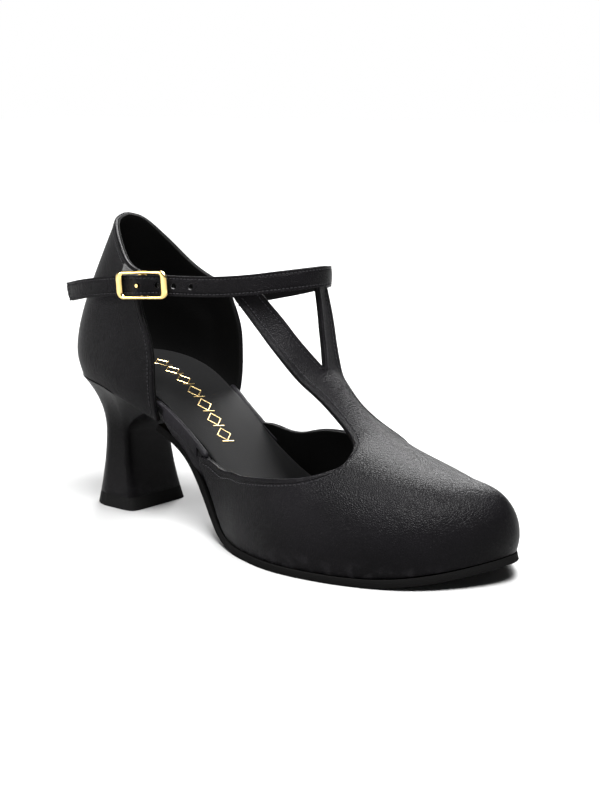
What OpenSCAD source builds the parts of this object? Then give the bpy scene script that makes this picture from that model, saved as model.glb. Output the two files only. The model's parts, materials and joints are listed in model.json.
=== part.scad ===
// A right character tap shoe: closed round toe, split T-strap, buckled ankle
// strap, peaked heel cup and a flared covered heel.
// X runs towards the toe, +Y is the inner (medial) side, Z is up.
// The origin is the middle of the heel's ground face.

/* [Overall] */
// Length from the back of the heel cup to the toe
shoe_len = 222; // [185:1:270]
// Height of the heel cup's peak above the ground
back_h = 129; // [118:1:156]
// Height of the heel seat's edge at the back
heel_h = 59.5; // [49:0.5:72]
// Width across the ball of the sole
ball_w = 79; // [66:1:95]
// Width across the heel cup's lower edge
seat_w = 55; // [50:0.5:62]

/* [Upper] */
// Thickness of the outer leather
leather_t = 1.2; // [1:0.1:1.5]
// Thickness of the toe puff and the heel counter
stiffener_t = 0.8; // [0.6:0.1:1]
// Thickness of the lining leather
lining_t = 0.8; // [0.6:0.1:1]
// Clearance between layers that are glued together
layer_gap = 0.06; // [0.04:0.01:0.1]
// Clearance between the curved layers of the bottom
bottom_gap = 0.25; // [0.2:0.05:0.3]
// How far the heel cup swells past a straight line at the back
cup_swell = 8.3; // [6.5:0.1:9.9]
// Distance of the quarters' front edges ahead of the heel's middle
quarter_front_x = 40; // [36:0.5:43]
// How far the vamp's sides bulge past its lower edge
vamp_bulge = 2.4; // [1.5:0.1:3]

/* [Strap] */
// Width of the ankle strap
strap_w = 8.2; // [6.8:0.1:9.9]
// Thickness of the strap's outer leather
strap_t = 1.1; // [0.9:0.05:1.35]
// Width of each arm of the T-strap where it meets the ankle strap
arm_w = 11; // [9:0.5:13.5]
// How far the free strap swings out, in degrees
swing_angle = 75; // [40:5:90]
// Diameter of the punched holes
hole_d = 2.4; // [2.2:0.1:3]
// Distance between the punched holes
hole_pitch = 7.6; // [6.3:0.1:9.2]

/* [Buckle] */
// Length of the buckle frame along the strap
buckle_len = 26.5; // [22:0.5:32]
// Width of the frame's end bars
end_bar_w = 3.2; // [2.6:0.1:3.9]
// Width of the frame's long bars
side_bar_w = 1.4; // [1.1:0.1:1.7]
// Thickness of the frame
buckle_t = 1.6; // [1.4:0.1:2]
// Diameter of the centre bar
centre_bar_d = 1.1; // [0.9:0.05:1.3]
// Clearance round the strap inside the frame
strap_play = 0.3; // [0.25:0.05:0.6]
// Gap between the strap and the back of the frame
buckle_gap = 0.35; // [0.25:0.05:0.5]

/* [Sole] */
// Thickness of the outsole
outsole_t = 3; // [2.4:0.1:3.4]
// How far the outsole stands out past the upper
outsole_lip = 0.8; // [0.4:0.1:1.2]
// Thickness of the insole board
board_t = 3; // [2:0.25:3.25]
// Thickness of the foam under the sock lining
foam_t = 1.8; // [1.2:0.1:2.2]
// Thickness of the sock lining
sock_t = 1; // [0.8:0.1:1.2]
// Width of the steel shank
shank_w = 14; // [10:0.5:17]
// Thickness of the steel shank
shank_t = 1.6; // [1:0.1:2]

/* [Heel] */
// Length of the heel's ground face
heel_base_len = 31; // [25:0.5:37.5]
// Width of the heel's ground face
heel_base_w = 35; // [29:0.5:42]
// Length of the heel at its neck
neck_len = 19.5; // [16:0.5:23.5]
// Width of the heel at its neck
neck_w = 28.5; // [23.5:0.5:34.5]
// Height of the neck above the ground
neck_z = 33; // [27:0.5:40]
// Thickness of the rubber top piece
top_piece_t = 5.5; // [4.5:0.25:7]
// Radial clearance round pins, screws, rivets and nails
fit_gap = 0.05; // [0.02:0.01:0.1]
// Thickness of the heel's leather cover
cover_t = 0.9; // [0.7:0.1:1.2]

/* [Hidden] */

// The last is drawn at its base size and stretched to the sizes above.
base_toe_x = 197;
base_heel_h = 59.5;
base_back_h = 129;
base_ball_w = 79;
base_seat_w = 55;
seat_end_x = 41;
toe_x = base_toe_x + shoe_len - 222;
flat_z = 12;

function lerp(a, b, k) = a + (b - a) * k;
function clamp(x, lo = 0, hi = 1) = min(hi, max(lo, x));
function ease(x) = let (c = clamp(x)) c * c * (3 - 2 * c);
function unit(v) = v / max(norm(v), 1e-9);

function last_x(x) = x <= seat_end_x ? x
    : seat_end_x + (x - seat_end_x) * (toe_x - seat_end_x) / (base_toe_x - seat_end_x);
function last_y(x, y) =
    y * lerp(seat_w / base_seat_w, ball_w / base_ball_w, ease((x - 20) / 80));
function last_z(z) = z <= flat_z ? z
    : z <= base_heel_h ? flat_z + (z - flat_z) * (heel_h - flat_z) / (base_heel_h - flat_z)
    : heel_h + (z - base_heel_h) * (back_h - heel_h) / (base_back_h - base_heel_h);
function last(p) = [last_x(p.x), last_y(p.x, p.y), last_z(p.z)];

// A smooth curve through points: k = 0 is the first one and k = 1 the next.
function blend4(a, b, c, d, f) = 0.5 * (2 * b + (c - a) * f
    + (2 * a - 5 * b + 4 * c - d) * f * f + (3 * b - a - 3 * c + d) * f * f * f);
function through(pts, k) =
    let (n = len(pts), i = clamp(floor(k), 0, n - 2))
    blend4(pts[max(i - 1, 0)], pts[i], pts[i + 1], pts[min(i + 2, n - 1)], k - i);

// A smooth height line through [x, z] pairs.
function slope(t, i) =
    let (a = t[max(i - 1, 0)], b = t[min(i + 1, len(t) - 1)]) (b[1] - a[1]) / (b[0] - a[0]);
function line(t, x) =
    let (i = max([for (j = [0:len(t) - 2]) if (j == 0 || x >= t[j][0]) j]),
        w = t[i + 1][0] - t[i][0],
        f = clamp((x - t[i][0]) / w))
    (2 * f * f * f - 3 * f * f + 1) * t[i][1] + (f * f * f - 2 * f * f + f) * w * slope(t, i)
    + (3 * f * f - 2 * f * f * f) * t[i + 1][1] + (f * f * f - f * f) * w * slope(t, i + 1);

// The feather edge, where the upper meets the sole, seen from above:
// from the back, along the outer side to the toe, and back along the inner side.
edge_pts = [[-20.5, 0], [-17, -13], [-7, -23], [10, -27.5], [28, -27.5], [50, -24.5],
    [72, -27], [95, -37.5], [118, -43.3], [145, -40.5], [169, -31], [186, -14.5],
    [194.4, 4.5], [186.5, 20], [170, 31.5], [145, 36], [122, 34], [98, 27.5], [74, 21.5],
    [50, 21.5], [28, 26], [10, 27], [-7, 23], [-17, 13]];
edge_n = len(edge_pts);
toe_k = 12;
function edge_at(i) = edge_pts[(i + edge_n) % edge_n];
function edge(k) = let (i = floor(k))
    blend4(edge_at(i - 1), edge_at(i), edge_at(i + 1), edge_at(i + 2), k - i);
function edge_out(k) = let (t = edge(k + 0.01) - edge(k - 0.01)) unit([t.y, -t.x]);

// Heights along the shoe: the sock's top, the quarter's and the vamp's lower
// edges, and the outsole's underside.
sock_line = [[-22, 66], [0, 65.5], [20, 62], [36, 56], [52, 45.5], [69, 33], [85, 21],
    [100, 14], [115, 11.6], [140, 11.2], [165, 12.4], [185, 15], [198, 18.5]];
quarter_line = [[-22, 59.5], [0, 58], [10, 56.4], [28, 50], [44, 43]];
vamp_line = [[60, 33], [66, 26], [72, 16.3], [79, 6.6], [88, 3.9], [100, 3.4], [150, 3.4],
    [165, 4.4], [180, 6.8], [198, 11.5]];
under_line = [[14, 45.5], [30, 41], [42, 34.5], [52, 26.5], [62, 15.5], [70, 7.5],
    [78, 2.6], [88, 0.4], [100, 0], [150, 0], [165, 0.9], [180, 3.2], [198, 8]];

// ---- meshes from grids of points ----
function grid_normal(g, i, j, i0, i1, j0, j1) =
    unit(cross(g[min(i + 1, i1)][j] - g[max(i - 1, i0)][j],
        g[i][min(j + 1, j1)] - g[i][max(j - 1, j0)]));
function sunk(g, d) =
    let (n = len(g) - 1, m = len(g[0]) - 1)
    [for (i = [0:n]) [for (j = [0:m]) g[i][j] - d * grid_normal(g, i, j, 0, n, 0, m)]];
function flat2(g) = [for (row = g) for (p = row) p];

// A closed wall between two grids; wrap joins each row's ends.
module wall(a, b, wrap = false) {
    i = floor(len(a) / 2) - 1;
    j = floor(len(a[0]) / 2) - 1;
    side = cross(a[i + 1][j] - a[i][j], a[i][j + 1] - a[i][j]) * (a[i][j] - b[i][j]);
    if (side > 0) shell(a, b, wrap);
    else shell(b, a, wrap);
}
module shell(a, b, wrap) {
    n = len(a);
    m = len(a[0]);
    cols = wrap ? m : m - 1;
    function id(l, i, j) = (l * n + i) * m + j % m;
    polyhedron(points = concat(flat2(a), flat2(b)), faces = concat(
        [for (i = [0:n - 2]) for (j = [0:cols - 1]) for (t = [0, 1]) t == 0
            ? [id(0, i, j), id(0, i, j + 1), id(0, i + 1, j + 1)]
            : [id(0, i, j), id(0, i + 1, j + 1), id(0, i + 1, j)]],
        [for (i = [0:n - 2]) for (j = [0:cols - 1]) for (t = [0, 1]) t == 0
            ? [id(1, i, j), id(1, i + 1, j + 1), id(1, i, j + 1)]
            : [id(1, i, j), id(1, i + 1, j), id(1, i + 1, j + 1)]],
        [for (j = [0:cols - 1]) for (t = [0, 1]) t == 0
            ? [id(0, 0, j), id(1, 0, j), id(1, 0, j + 1)]
            : [id(0, 0, j), id(1, 0, j + 1), id(0, 0, j + 1)]],
        [for (j = [0:cols - 1]) for (t = [0, 1]) t == 0
            ? [id(0, n - 1, j), id(1, n - 1, j + 1), id(1, n - 1, j)]
            : [id(0, n - 1, j), id(0, n - 1, j + 1), id(1, n - 1, j + 1)]],
        wrap ? [] : [for (i = [0:n - 2]) for (t = [0, 1]) t == 0
            ? [id(0, i, 0), id(1, i + 1, 0), id(1, i, 0)]
            : [id(0, i, 0), id(0, i + 1, 0), id(1, i + 1, 0)]],
        wrap ? [] : [for (i = [0:n - 2]) for (t = [0, 1]) t == 0
            ? [id(0, i, m - 1), id(1, i, m - 1), id(1, i + 1, m - 1)]
            : [id(0, i, m - 1), id(1, i + 1, m - 1), id(0, i + 1, m - 1)]]));
}

// A solid through closed rings, its ends shut by fans round their middles.
module loft(rings, low_mid, high_mid) {
    n = len(rings);
    m = len(rings[0]);
    function id(i, j) = i * m + j % m;
    polyhedron(points = concat(flat2(rings), [low_mid, high_mid]), faces = concat(
        [for (i = [0:n - 2]) for (j = [0:m - 1]) for (t = [0, 1]) t == 0
            ? [id(i, j), id(i + 1, j + 1), id(i, j + 1)]
            : [id(i, j), id(i + 1, j), id(i + 1, j + 1)]],
        [for (j = [0:m - 1]) [n * m, id(0, j), id(0, j + 1)]],
        [for (j = [0:m - 1]) [n * m + 1, id(n - 1, j + 1), id(n - 1, j)]]));
}

// The strap's middle line: from the inner quarter round the front, along the outer
// side through the buckle, and back past the quarter.
ring_pts = [[39.2, 26.9, 92.3], [54, 26.4, 96], [76, 23.8, 101], [93, 19.2, 105.4],
    [102, 9, 108], [100.8, -4.5, 108], [93, -13.6, 106.8], [84, -18.6, 105.4],
    [72, -22.6, 104.1], [60, -26.4, 103.6], [49.5, -29.4, 103.5], [38.5, -30.6, 103.1],
    [25, -32.1, 101.7], [13, -32.4, 100.2], [3, -30.9, 98.6], [-6, -28, 96.8],
    [-14.5, -24.2, 95.1]];
strap_lining_t = 0.8;

// ---- the vamp with its T-strap ----
// Rows run from the toe back; columns climb from the feather edge to the ridge.
// Past the throat the grid parts: the wing keeps the low columns, the T-strap
// the high ones, and past the notch the strap becomes two arms.
ridge_pts = [[104, 0, 76], [110, 0, 70.5], [119, 0.5, 61.7], [130, 0.8, 53.5],
    [144, 1.4, 46.4], [158, 2.1, 41.2], [170, 2.7, 37.8], [178, 3, 36.2]];
ridge_first_k = 5;
throat_k = 8.7;
wing_end_k = 5.58;
closed_rows = 14;
wing_rows = 14;
strap_rows = 9;
arm_rows = 8;
wing_cols = 7;
vamp_cols = 12;
notch_row = closed_rows + strap_rows;
top_row = notch_row + arm_rows;
notch_x = 109;

// Angle up the wall of each wing's topline, and of the T-strap's foot
wing_top = [[[5.58, 3], [6, 13], [6.5, 22], [7, 26], [7.5, 30.7], [8, 36.6], [8.4, 44],
    [8.7, 55]],
    [[5.58, 9], [6, 22], [6.5, 31], [7, 35], [7.5, 40], [8, 45], [8.4, 50], [8.7, 55]]];
strap_foot_angle = 61;
// The T-strap's height, half widths and edge drops along the shoe, [outer, inner]
ridge_height = [[104, 76], [109, 71.4], [115, 65.5], [120, 60.9], [125, 56.9], [130, 53.5],
    [138, 49.1], [144, 46.4]];
strap_half = [[[109, 12.6], [115, 11], [121, 10.6], [128, 11.8], [133, 14], [137, 18], [140, 22]],
    [[109, 13], [115, 10.4], [121, 9], [128, 10], [134, 12.8], [140, 16.6]]];
strap_drop = [[[109, 4], [115, 2.8], [121, 2.3], [128, 2.2], [134, 3], [140, 5]],
    [[109, 4.5], [115, 3], [121, 2.7], [128, 3], [134, 4.2], [140, 6.2]]];

function ridge(k) = through(ridge_pts, k - ridge_first_k);
// The cross-section is fuller on the outer side and at the toe.
function roundness(side, k) =
    side < 0 ? 0.83 : lerp(0.83, 1.16, ease(k - 7.9)) - 0.3 * ease((k - 10.6) / 1.4);
function vamp_pt(side, k, angle) =
    let (kk = side < 0 ? k : edge_n - k, e = edge(kk), n = edge_out(kk), r = ridge(k),
        p = roundness(side, k), g = 1 - pow(max(cos(angle), 0), p), h = pow(sin(angle), p),
        inner = side < 0 ? 0 : 0.6 * ease(k - 7.8) * (1 - ease(k - 10.8)),
        b = vamp_bulge * (1 - inner) * ease((k - 5.6) / 1.5) * sin(180 * pow(angle / 90, 0.7)))
    [lerp(e.x, r.x, g) + n.x * b, lerp(e.y, r.y, g) + n.y * b,
        lerp(line(vamp_line, e.x), r.z, h)];
function t_strap_pt(side, f, w) =
    let (s = side < 0 ? 0 : 1, x = lerp(ridge(throat_k).x, notch_x, f))
    [x - 1.5 * w * w * f, side * w * line(strap_half[s], x) + 1.2 * (1 - f),
        line(ridge_height, x) - line(strap_drop[s], x) * pow(w, 2.2)];
// Edges of the two arms, from the notch up behind the ankle strap
function behind(k, rise) =
    let (t = through(ring_pts, k + 0.02) - through(ring_pts, k - 0.02))
    through(ring_pts, k) - unit([-t.y, t.x, 0]) * (strap_lining_t + arm_gap) + [0, 0, rise];
arm_gap = 1.25;
arm_out = [[[107.5, -12.6, 67.4], [97.5, -16.4, 78.3], [86.6, -17.6, 89.4], behind(8, 2)],
    [[107.5, 13, 66.9], [103.3, 13.9, 81], [100.3, 14, 95], behind(3.5, 1.5)]];
arm_in = [[[109, 0, 71.4], [100.3, -6.4, 84.2], [92.4, -11.2, 95], behind(6.95, 1)],
    [[109, 0, 71.4], [105.4, 3.2, 83], [102.8, 4.8, 93.5], behind(4.35, 1.5)]];
function arm_pt(side, f, w) =
    let (s = side < 0 ? 0 : 1, o = through(arm_out[s], 3 * f), i = through(arm_in[s], 3 * f),
        mid = (o + i) / 2, half = (o - i) / 2,
        wide = f > 0.7 ? 1 : lerp(1, arm_w / (2 * norm(half)), ease(f * 2) * ease((0.7 - f) * 5)))
    mid + half * (2 * w - 1) * wide;
function upper_pt(side, i, j) =
    let (w = 1 - (j - wing_cols - 1) / (vamp_cols - wing_cols - 1))
    last(i <= closed_rows
        ? vamp_pt(side, lerp(toe_k, throat_k, i / closed_rows),
            j <= wing_cols ? 55 * j / wing_cols : lerp(90, strap_foot_angle, w))
        : j <= wing_cols
        ? let (k = lerp(throat_k, wing_end_k, clamp((i - closed_rows) / wing_rows)))
            vamp_pt(side, k, line(wing_top[side < 0 ? 0 : 1], k) * j / wing_cols)
        : i <= notch_row ? t_strap_pt(side, (i - closed_rows) / strap_rows, w)
        : arm_pt(side, (i - notch_row) / arm_rows, w));
function vamp_cell(i, j) = i >= 0 && j >= 0 && j < vamp_cols
    && (j < wing_cols ? i < closed_rows + wing_rows
        : j == wing_cols ? i < closed_rows : i < top_row);
function has_col(i, j) = vamp_cell(i, j) || vamp_cell(i - 1, j);
function last_row(j) = j <= wing_cols ? closed_rows + wing_rows : top_row;

upper = [for (side = [-1, 1])
    [for (i = [0:top_row]) [for (j = [0:vamp_cols]) upper_pt(side, i, j)]]];
// On the toe's middle line and the ridge, where the sides meet, both sides count.
function upper_normal(s, i, j) =
    i == 0 || (j == vamp_cols && i <= notch_row)
    ? let (g = upper[0], top = j == vamp_cols, ai = max(i, 1), aj = min(j, vamp_cols - 1),
        next = top ? g[min(i + 1, notch_row)][j] : g[0][j + 1],
        last_one = top && i > 0 ? g[i - 1][j] : g[0][max(j - 1, 0)])
        unit(cross(upper[1][ai][aj] - upper[0][ai][aj], next - last_one))
    : let (g = upper[s], jl = has_col(i, j - 1) ? j - 1 : j, jr = has_col(i, j) ? j + 1 : j,
        ir = min(i + 1, last_row(j)))
        unit(cross(g[ir][j] - g[i - 1][j], g[i][min(jr, vamp_cols)] - g[i][jl]))
            * (s == 0 ? -1 : 1);
upper_normals = [for (s = [0, 1])
    [for (i = [0:top_row]) [for (j = [0:vamp_cols]) upper_normal(s, i, j)]]];

// One layer of the vamp: from depth a(i) to depth b(i) below the surface, made of
// the cells that keep(i, j) picks.
module vamp_layer(a, b, keep) {
    n = top_row + 1;
    m = vamp_cols + 1;
    function shared(i, j) = i == 0 || (j == vamp_cols && i <= notch_row);
    function id(s, l, i, j) = (((shared(i, j) ? 0 : s) * 2 + l) * n + i) * m + j;
    function here(i, j) = vamp_cell(i, j) && keep(i, j);
    function quad(s, p, q, r, t) = s == 1 ? [[p, q, r], [p, r, t]] : [[r, q, p], [t, r, p]];
    // Both faces of a cell, then a rim wherever its neighbour is missing
    function cell(s, i, j) = concat(
        quad(s, id(s, 0, i, j + 1), id(s, 0, i + 1, j + 1), id(s, 0, i + 1, j), id(s, 0, i, j)),
        quad(s, id(s, 1, i, j + 1), id(s, 1, i, j), id(s, 1, i + 1, j), id(s, 1, i + 1, j + 1)),
        i == 0 || here(i - 1, j) ? []
            : quad(s, id(s, 0, i, j + 1), id(s, 0, i, j), id(s, 1, i, j), id(s, 1, i, j + 1)),
        here(i + 1, j) ? []
            : quad(s, id(s, 0, i + 1, j), id(s, 0, i + 1, j + 1), id(s, 1, i + 1, j + 1),
                id(s, 1, i + 1, j)),
        here(i, j - 1) ? []
            : quad(s, id(s, 0, i, j), id(s, 0, i + 1, j), id(s, 1, i + 1, j), id(s, 1, i, j)),
        here(i, j + 1) || (j + 1 == vamp_cols && i < notch_row) ? []
            : quad(s, id(s, 0, i + 1, j + 1), id(s, 0, i, j + 1), id(s, 1, i, j + 1),
                id(s, 1, i + 1, j + 1)));
    polyhedron(
        points = [for (s = [0, 1]) for (l = [0, 1]) for (i = [0:top_row]) for (j = [0:vamp_cols])
            upper[s][i][j] - (l == 0 ? a(i) : b(i)) * upper_normals[s][i][j]],
        faces = [for (s = [0, 1]) for (i = [0:top_row - 1]) for (j = [0:vamp_cols - 1])
            if (here(i, j)) for (t = cell(s, i, j)) t]);
}

puff_rows = 7;
under_leather = leather_t + layer_gap;
// The lining steps inwards where the toe puff lies over it.
function vamp_lining_d(i) =
    under_leather + (stiffener_t + layer_gap) * (1 - ease((i - puff_rows) / 2));

module vamp_outer() {
    color("#24222a") vamp_layer(function(i) 0, function(i) leather_t, function(i, j) true);
}
module vamp_lining() {
    color("#18181a") vamp_layer(function(i) vamp_lining_d(i),
        function(i) vamp_lining_d(i) + lining_t, function(i, j) j < wing_cols || i < closed_rows);
}
module t_strap_lining() {
    color("#1c1b1f") vamp_layer(function(i) under_leather, function(i) under_leather + lining_t,
        function(i, j) j > wing_cols && i > closed_rows);
}
module toe_puff() {
    color("#8d8a80") vamp_layer(function(i) under_leather,
        function(i) under_leather + stiffener_t, function(i, j) i < puff_rows);
}

// ---- the quarters ----
// c runs round the back: 0 is the back seam, above 0 the outer side.
quarter_rows = 16;
quarter_cols = 9;
quarter_c = 4 + (quarter_front_x - 28) / 22;
// The front edges curve back towards the top.
function front_c(side, v) = side * (quarter_c
    - (side > 0 ? 0.6 * ease((v - 0.45) / 0.45) : 0.28 * ease((v - 0.65) / 0.35)));
outer_top = [[-3, 0, 129], [-0.5, -8.5, 127], [8, -16.5, 121.5], [21, -24, 111.5],
    [32.5, -27.2, 108], [48, -29, 106.5]];
inner_top = [[-3, 0, 129], [-0.5, 8.5, 126.5], [6, 16.5, 117.5], [17, 23, 105.5],
    [30, 25.8, 98.5], [46, 27, 93]];
function quarter_pt(c, v) =
    let (k = c >= 0 ? c : edge_n + c, e = edge(k), n = edge_out(k),
        top = through(c >= 0 ? outer_top : inner_top, abs(c)),
        swell = lerp(cup_swell, 3.2, ease(abs(c) / 3)) * sin(180 * pow(v, 0.6)))
    last([lerp(e.x, top.x, v) + n.x * swell, lerp(e.y, top.y, v) + n.y * swell,
        lerp(line(quarter_line, e.x), top.z, v)]);
// One grid for every layer: rows run from the inner front edge round the back to
// the outer one, columns from the bottom up.
function quarter_node(i, j) =
    let (v = j / quarter_cols, f = (i - quarter_rows) / quarter_rows)
    quarter_pt(abs(f) * front_c(f < 0 ? -1 : 1, v), v);
quarter = [for (i = [0:2 * quarter_rows]) [for (j = [0:quarter_cols]) quarter_node(i, j)]];
quarter_normals = [for (i = [0:2 * quarter_rows]) [for (j = [0:quarter_cols])
    grid_normal(quarter, i, j, 0, 2 * quarter_rows, 0, quarter_cols)]];
seam_gap = 0.05;
counter_rows = 12;
counter_cols = 5;
function under_counter(i, j) = abs(i - quarter_rows) <= counter_rows && j <= counter_cols;

// A layer over some rows and columns, between two depths below the surface
module quarter_layer(i0, i1, j1, near, far, shift = 0) {
    g = function(d) [for (i = [i0:i1]) [for (j = [0:j1])
        quarter[i][j] - quarter_normals[i][j] * d(i, j) + [0, shift, 0]]];
    wall(g(near), g(far));
}
module quarter_outer_side() {
    color("#222124") quarter_layer(quarter_rows, 2 * quarter_rows, quarter_cols,
        function(i, j) 0, function(i, j) leather_t, -seam_gap / 2);
}
module quarter_inner_side() {
    color("#222124") quarter_layer(0, quarter_rows, quarter_cols,
        function(i, j) 0, function(i, j) leather_t, seam_gap / 2);
}
module heel_counter() {
    color("#8d8a80") quarter_layer(quarter_rows - counter_rows, quarter_rows + counter_rows,
        counter_cols, function(i, j) under_leather,
        function(i, j) under_leather + stiffener_t);
}
// The lining steps inwards where the counter lies over it.
module quarter_lining() {
    depth = function(i, j) under_leather + (under_counter(i, j) ? stiffener_t + layer_gap : 0);
    color("#141416") quarter_layer(0, 2 * quarter_rows, quarter_cols, depth,
        function(i, j) depth(i, j) + lining_t);
}

// ---- the bottom ----
lining_in = under_leather + stiffener_t + layer_gap + lining_t;
board_clear = 0.35;
sock_bottom = sock_t;
foam_bottom = sock_bottom + layer_gap + foam_t;
board_top = foam_bottom + layer_gap;
edge_clear = 0.6;
board_bottom = board_top + board_t;
seat_first_k = 0.35;
sole_last_k = 11.9;
waist_start = quarter_front_x + 1;
waist_end = 60;
// How far the insole stays inside the feather edge: full where the upper wraps it
function inset(x) = lining_in + board_clear
    - (lining_in + board_clear - 1.1) * (ease((x - waist_start) / 5) - ease((x - waist_end + 5) / 5));
// Rows across the bottom from the outer to the inner side
function across(k, s, d, tuck) =
    let (o = edge(k), i = edge(edge_n - k), no = edge_out(k), ni = edge_out(edge_n - k),
        a = [o.x - no.x * d(o.x), (o.y - no.y * d(o.x)) * tuck(o.x)],
        b = [i.x - ni.x * d(i.x), (i.y - ni.y * d(i.x)) * tuck(i.x)])
    lerp(a, b, s);
function plate_grid(k0, k1, rows, cols, d, tuck, zline, drop) =
    [for (i = [0:rows]) [for (j = [0:cols])
        let (p = across(lerp(k0, k1, i / rows), j / cols, d, tuck),
            q = last([p.x, p.y, line(zline, p.x)])) q - [0, 0, drop]]];
function straight(x) = 1;
// The sole is narrower than the upper at the waist.
function waist_tuck(x) = lerp(0.74, 1, ease((x - 42) / 36));

module insole_plate(drop_top, drop_bottom, k0 = seat_first_k, more = 0) {
    g = function(drop) plate_grid(k0, sole_last_k, 26, 5, function(x) inset(x) + more,
        function(x) straight(x), sock_line, drop);
    wall(g(drop_bottom), g(drop_top));
}
module sock_lining() { color("#1b1a1c") insole_plate(0, sock_bottom, more = edge_clear); }
module sock_foam() {
    color("#b9a98c") insole_plate(sock_bottom + layer_gap, foam_bottom, more = edge_clear + 0.2);
}
module insole_board() {
    color("#a98f6a") difference() {
        insole_plate(board_top, board_bottom, more = 0.2);
        rivets(fit_gap, board_t);
        heel_screw_shape(fit_gap, board_t);
        nails(fit_gap, board_t);
    }
}

// Height of the board's underside at a base x
function board_z(x) = last_z(line(sock_line, x)) - board_bottom;
module shank_strip(y, z0, z1, x0, x1) {
    g = function(drop) [for (i = [0:14]) [for (s = [-1, 1])
        let (x = lerp(x0, x1, i / 14)) [last_x(x), s * y, board_z(x) - drop]]];
    wall(g(z1), g(z0));
}
shank_gap = bottom_gap + 0.1;
shank_x0 = 38;
shank_x1 = 96;
module steel_shank() {
    color("#8f9499") difference() {
        shank_strip(shank_w / 2, shank_gap, shank_gap + shank_t, shank_x0, shank_x1);
        rivets(fit_gap, 0);
    }
}
rivet_d = 3;
rivet_x = [46, 88];
// grow widens and long lengthens a fastener into its own bore.
module rivets(grow, long) {
    for (x = rivet_x) {
        tilt = atan2(board_z(x - 1) - board_z(x + 1), last_x(x + 1) - last_x(x - 1));
        translate([last_x(x), 0, board_z(x)]) rotate([0, tilt, 0])
            translate([0, 0, -shank_t - shank_gap + (grow > 0 ? -1 : 0.1)])
            cylinder(h = shank_t + board_t * 0.8 + (grow > 0 ? 1 : 0) + long, d = rivet_d + 2 * grow,
                $fn = 24);
    }
}
module shank_rivets() { color("#b08d57") rivets(0, 0); }

// A leather strip round the insole's edge where the waist leaves it bare
wrap_t = 0.8;
module wrap_strip(side) {
    k0 = 4.66;
    k1 = 5.5;
    g = function(d, drop) [for (i = [0:8])
        let (k = lerp(k0, k1, i / 8), kk = side < 0 ? k : edge_n - k, e = edge(kk), n = edge_out(kk),
            p = last([e.x, e.y, line(sock_line, e.x)]))
        [for (h = [0, drop]) [p.x - n.x * d, p.y - n.y * d, p.z - h]]];
    a = g(0, board_bottom - 0.1);
    b = g(wrap_t, board_bottom - 0.1);
    wall(a, b);
}
module insole_wrap() {
    color("#2a292c") for (side = [-1, 1]) wrap_strip(side);
}

heel_front_x = 33;
waist_inset = 4.2;
function under_vamp(k) = lining_in * ease((k - 5.15) / 0.35);
// The wedge that fills the waist over the outsole, grooved for the shank
module waist_filler() {
    g = function(top) [for (i = [0:12])
        let (x = lerp(heel_front_x + 1, 97, i / 12), k = 4.23 + (x - 33) / 22.3,
            in = waist_inset + under_vamp(k),
            yo = last_y(x, edge(k).y * waist_tuck(x)) + in,
            yi = last_y(x, edge(edge_n - k).y * waist_tuck(x)) - in,
            h = shank_w / 2 + 0.2, up = board_z(x) - shank_gap,
            low = last_z(line(under_line, x)) + outsole_t + bottom_gap)
        [for (c = [[yo, 0], [-h - 0.1, 0], [-h, 1], [h, 1], [h + 0.1, 0], [yi, 0]])
            [last_x(x), c[0], top ? max(up - c[1] * (shank_t + 2 * bottom_gap), low + 0.3) : low]]];
    color("#9b7b55") wall(g(false), g(true));
}
module forepart_filler() {
    k0 = 7.35;
    low = plate_grid(k0, 11.6, 14, 4, function(x) lining_in + 1, function(x) straight(x),
        under_line, -outsole_t - bottom_gap);
    high = plate_grid(k0, 11.6, 14, 4, function(x) lining_in + 1, function(x) straight(x),
        sock_line, board_bottom + bottom_gap);
    color("#9b7b55") wall(low, high);
}
// Leather drawn over the sides of the waist, from the insole to the outsole
module waist_side(side) {
    rows = 10;
    g = function(d) [for (i = [0:rows])
        let (k = lerp(4.62, 6.25, i / rows), kk = side < 0 ? k : edge_n - k,
            e = edge(kk), n = edge_out(kk), tuck = waist_tuck(e.x),
            top_z = last_z(line(sock_line, e.x)) - board_bottom - bottom_gap,
            low_z = last_z(line(under_line, e.x)) + outsole_t + bottom_gap,
            up = last([e.x, e.y, 0]), down = last([e.x, e.y * tuck, 0]))
        [for (f = [0, 0.5, 1])
            let (y = lerp(up.y - n.y * 0.6, down.y, f) - n.y * (d + under_vamp(k)))
            [up.x, y, lerp(top_z, low_z, f)]]];
    wall(g(0), g(wrap_t));
}
module waist_cover() {
    color("#1f1e20") for (side = [-1, 1]) waist_side(side);
}
module outsole() {
    g = function(drop) plate_grid(4.24, sole_last_k + 0.06, 34, 6,
        function(x) -outsole_lip * ease((x - 60) / 20), function(x) waist_tuck(x),
        under_line, drop);
    color("#1a191b") wall(g(0), g(-outsole_t));
}

// ---- the heel ----
ring_side = 16;
ring_breast = 8;
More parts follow.
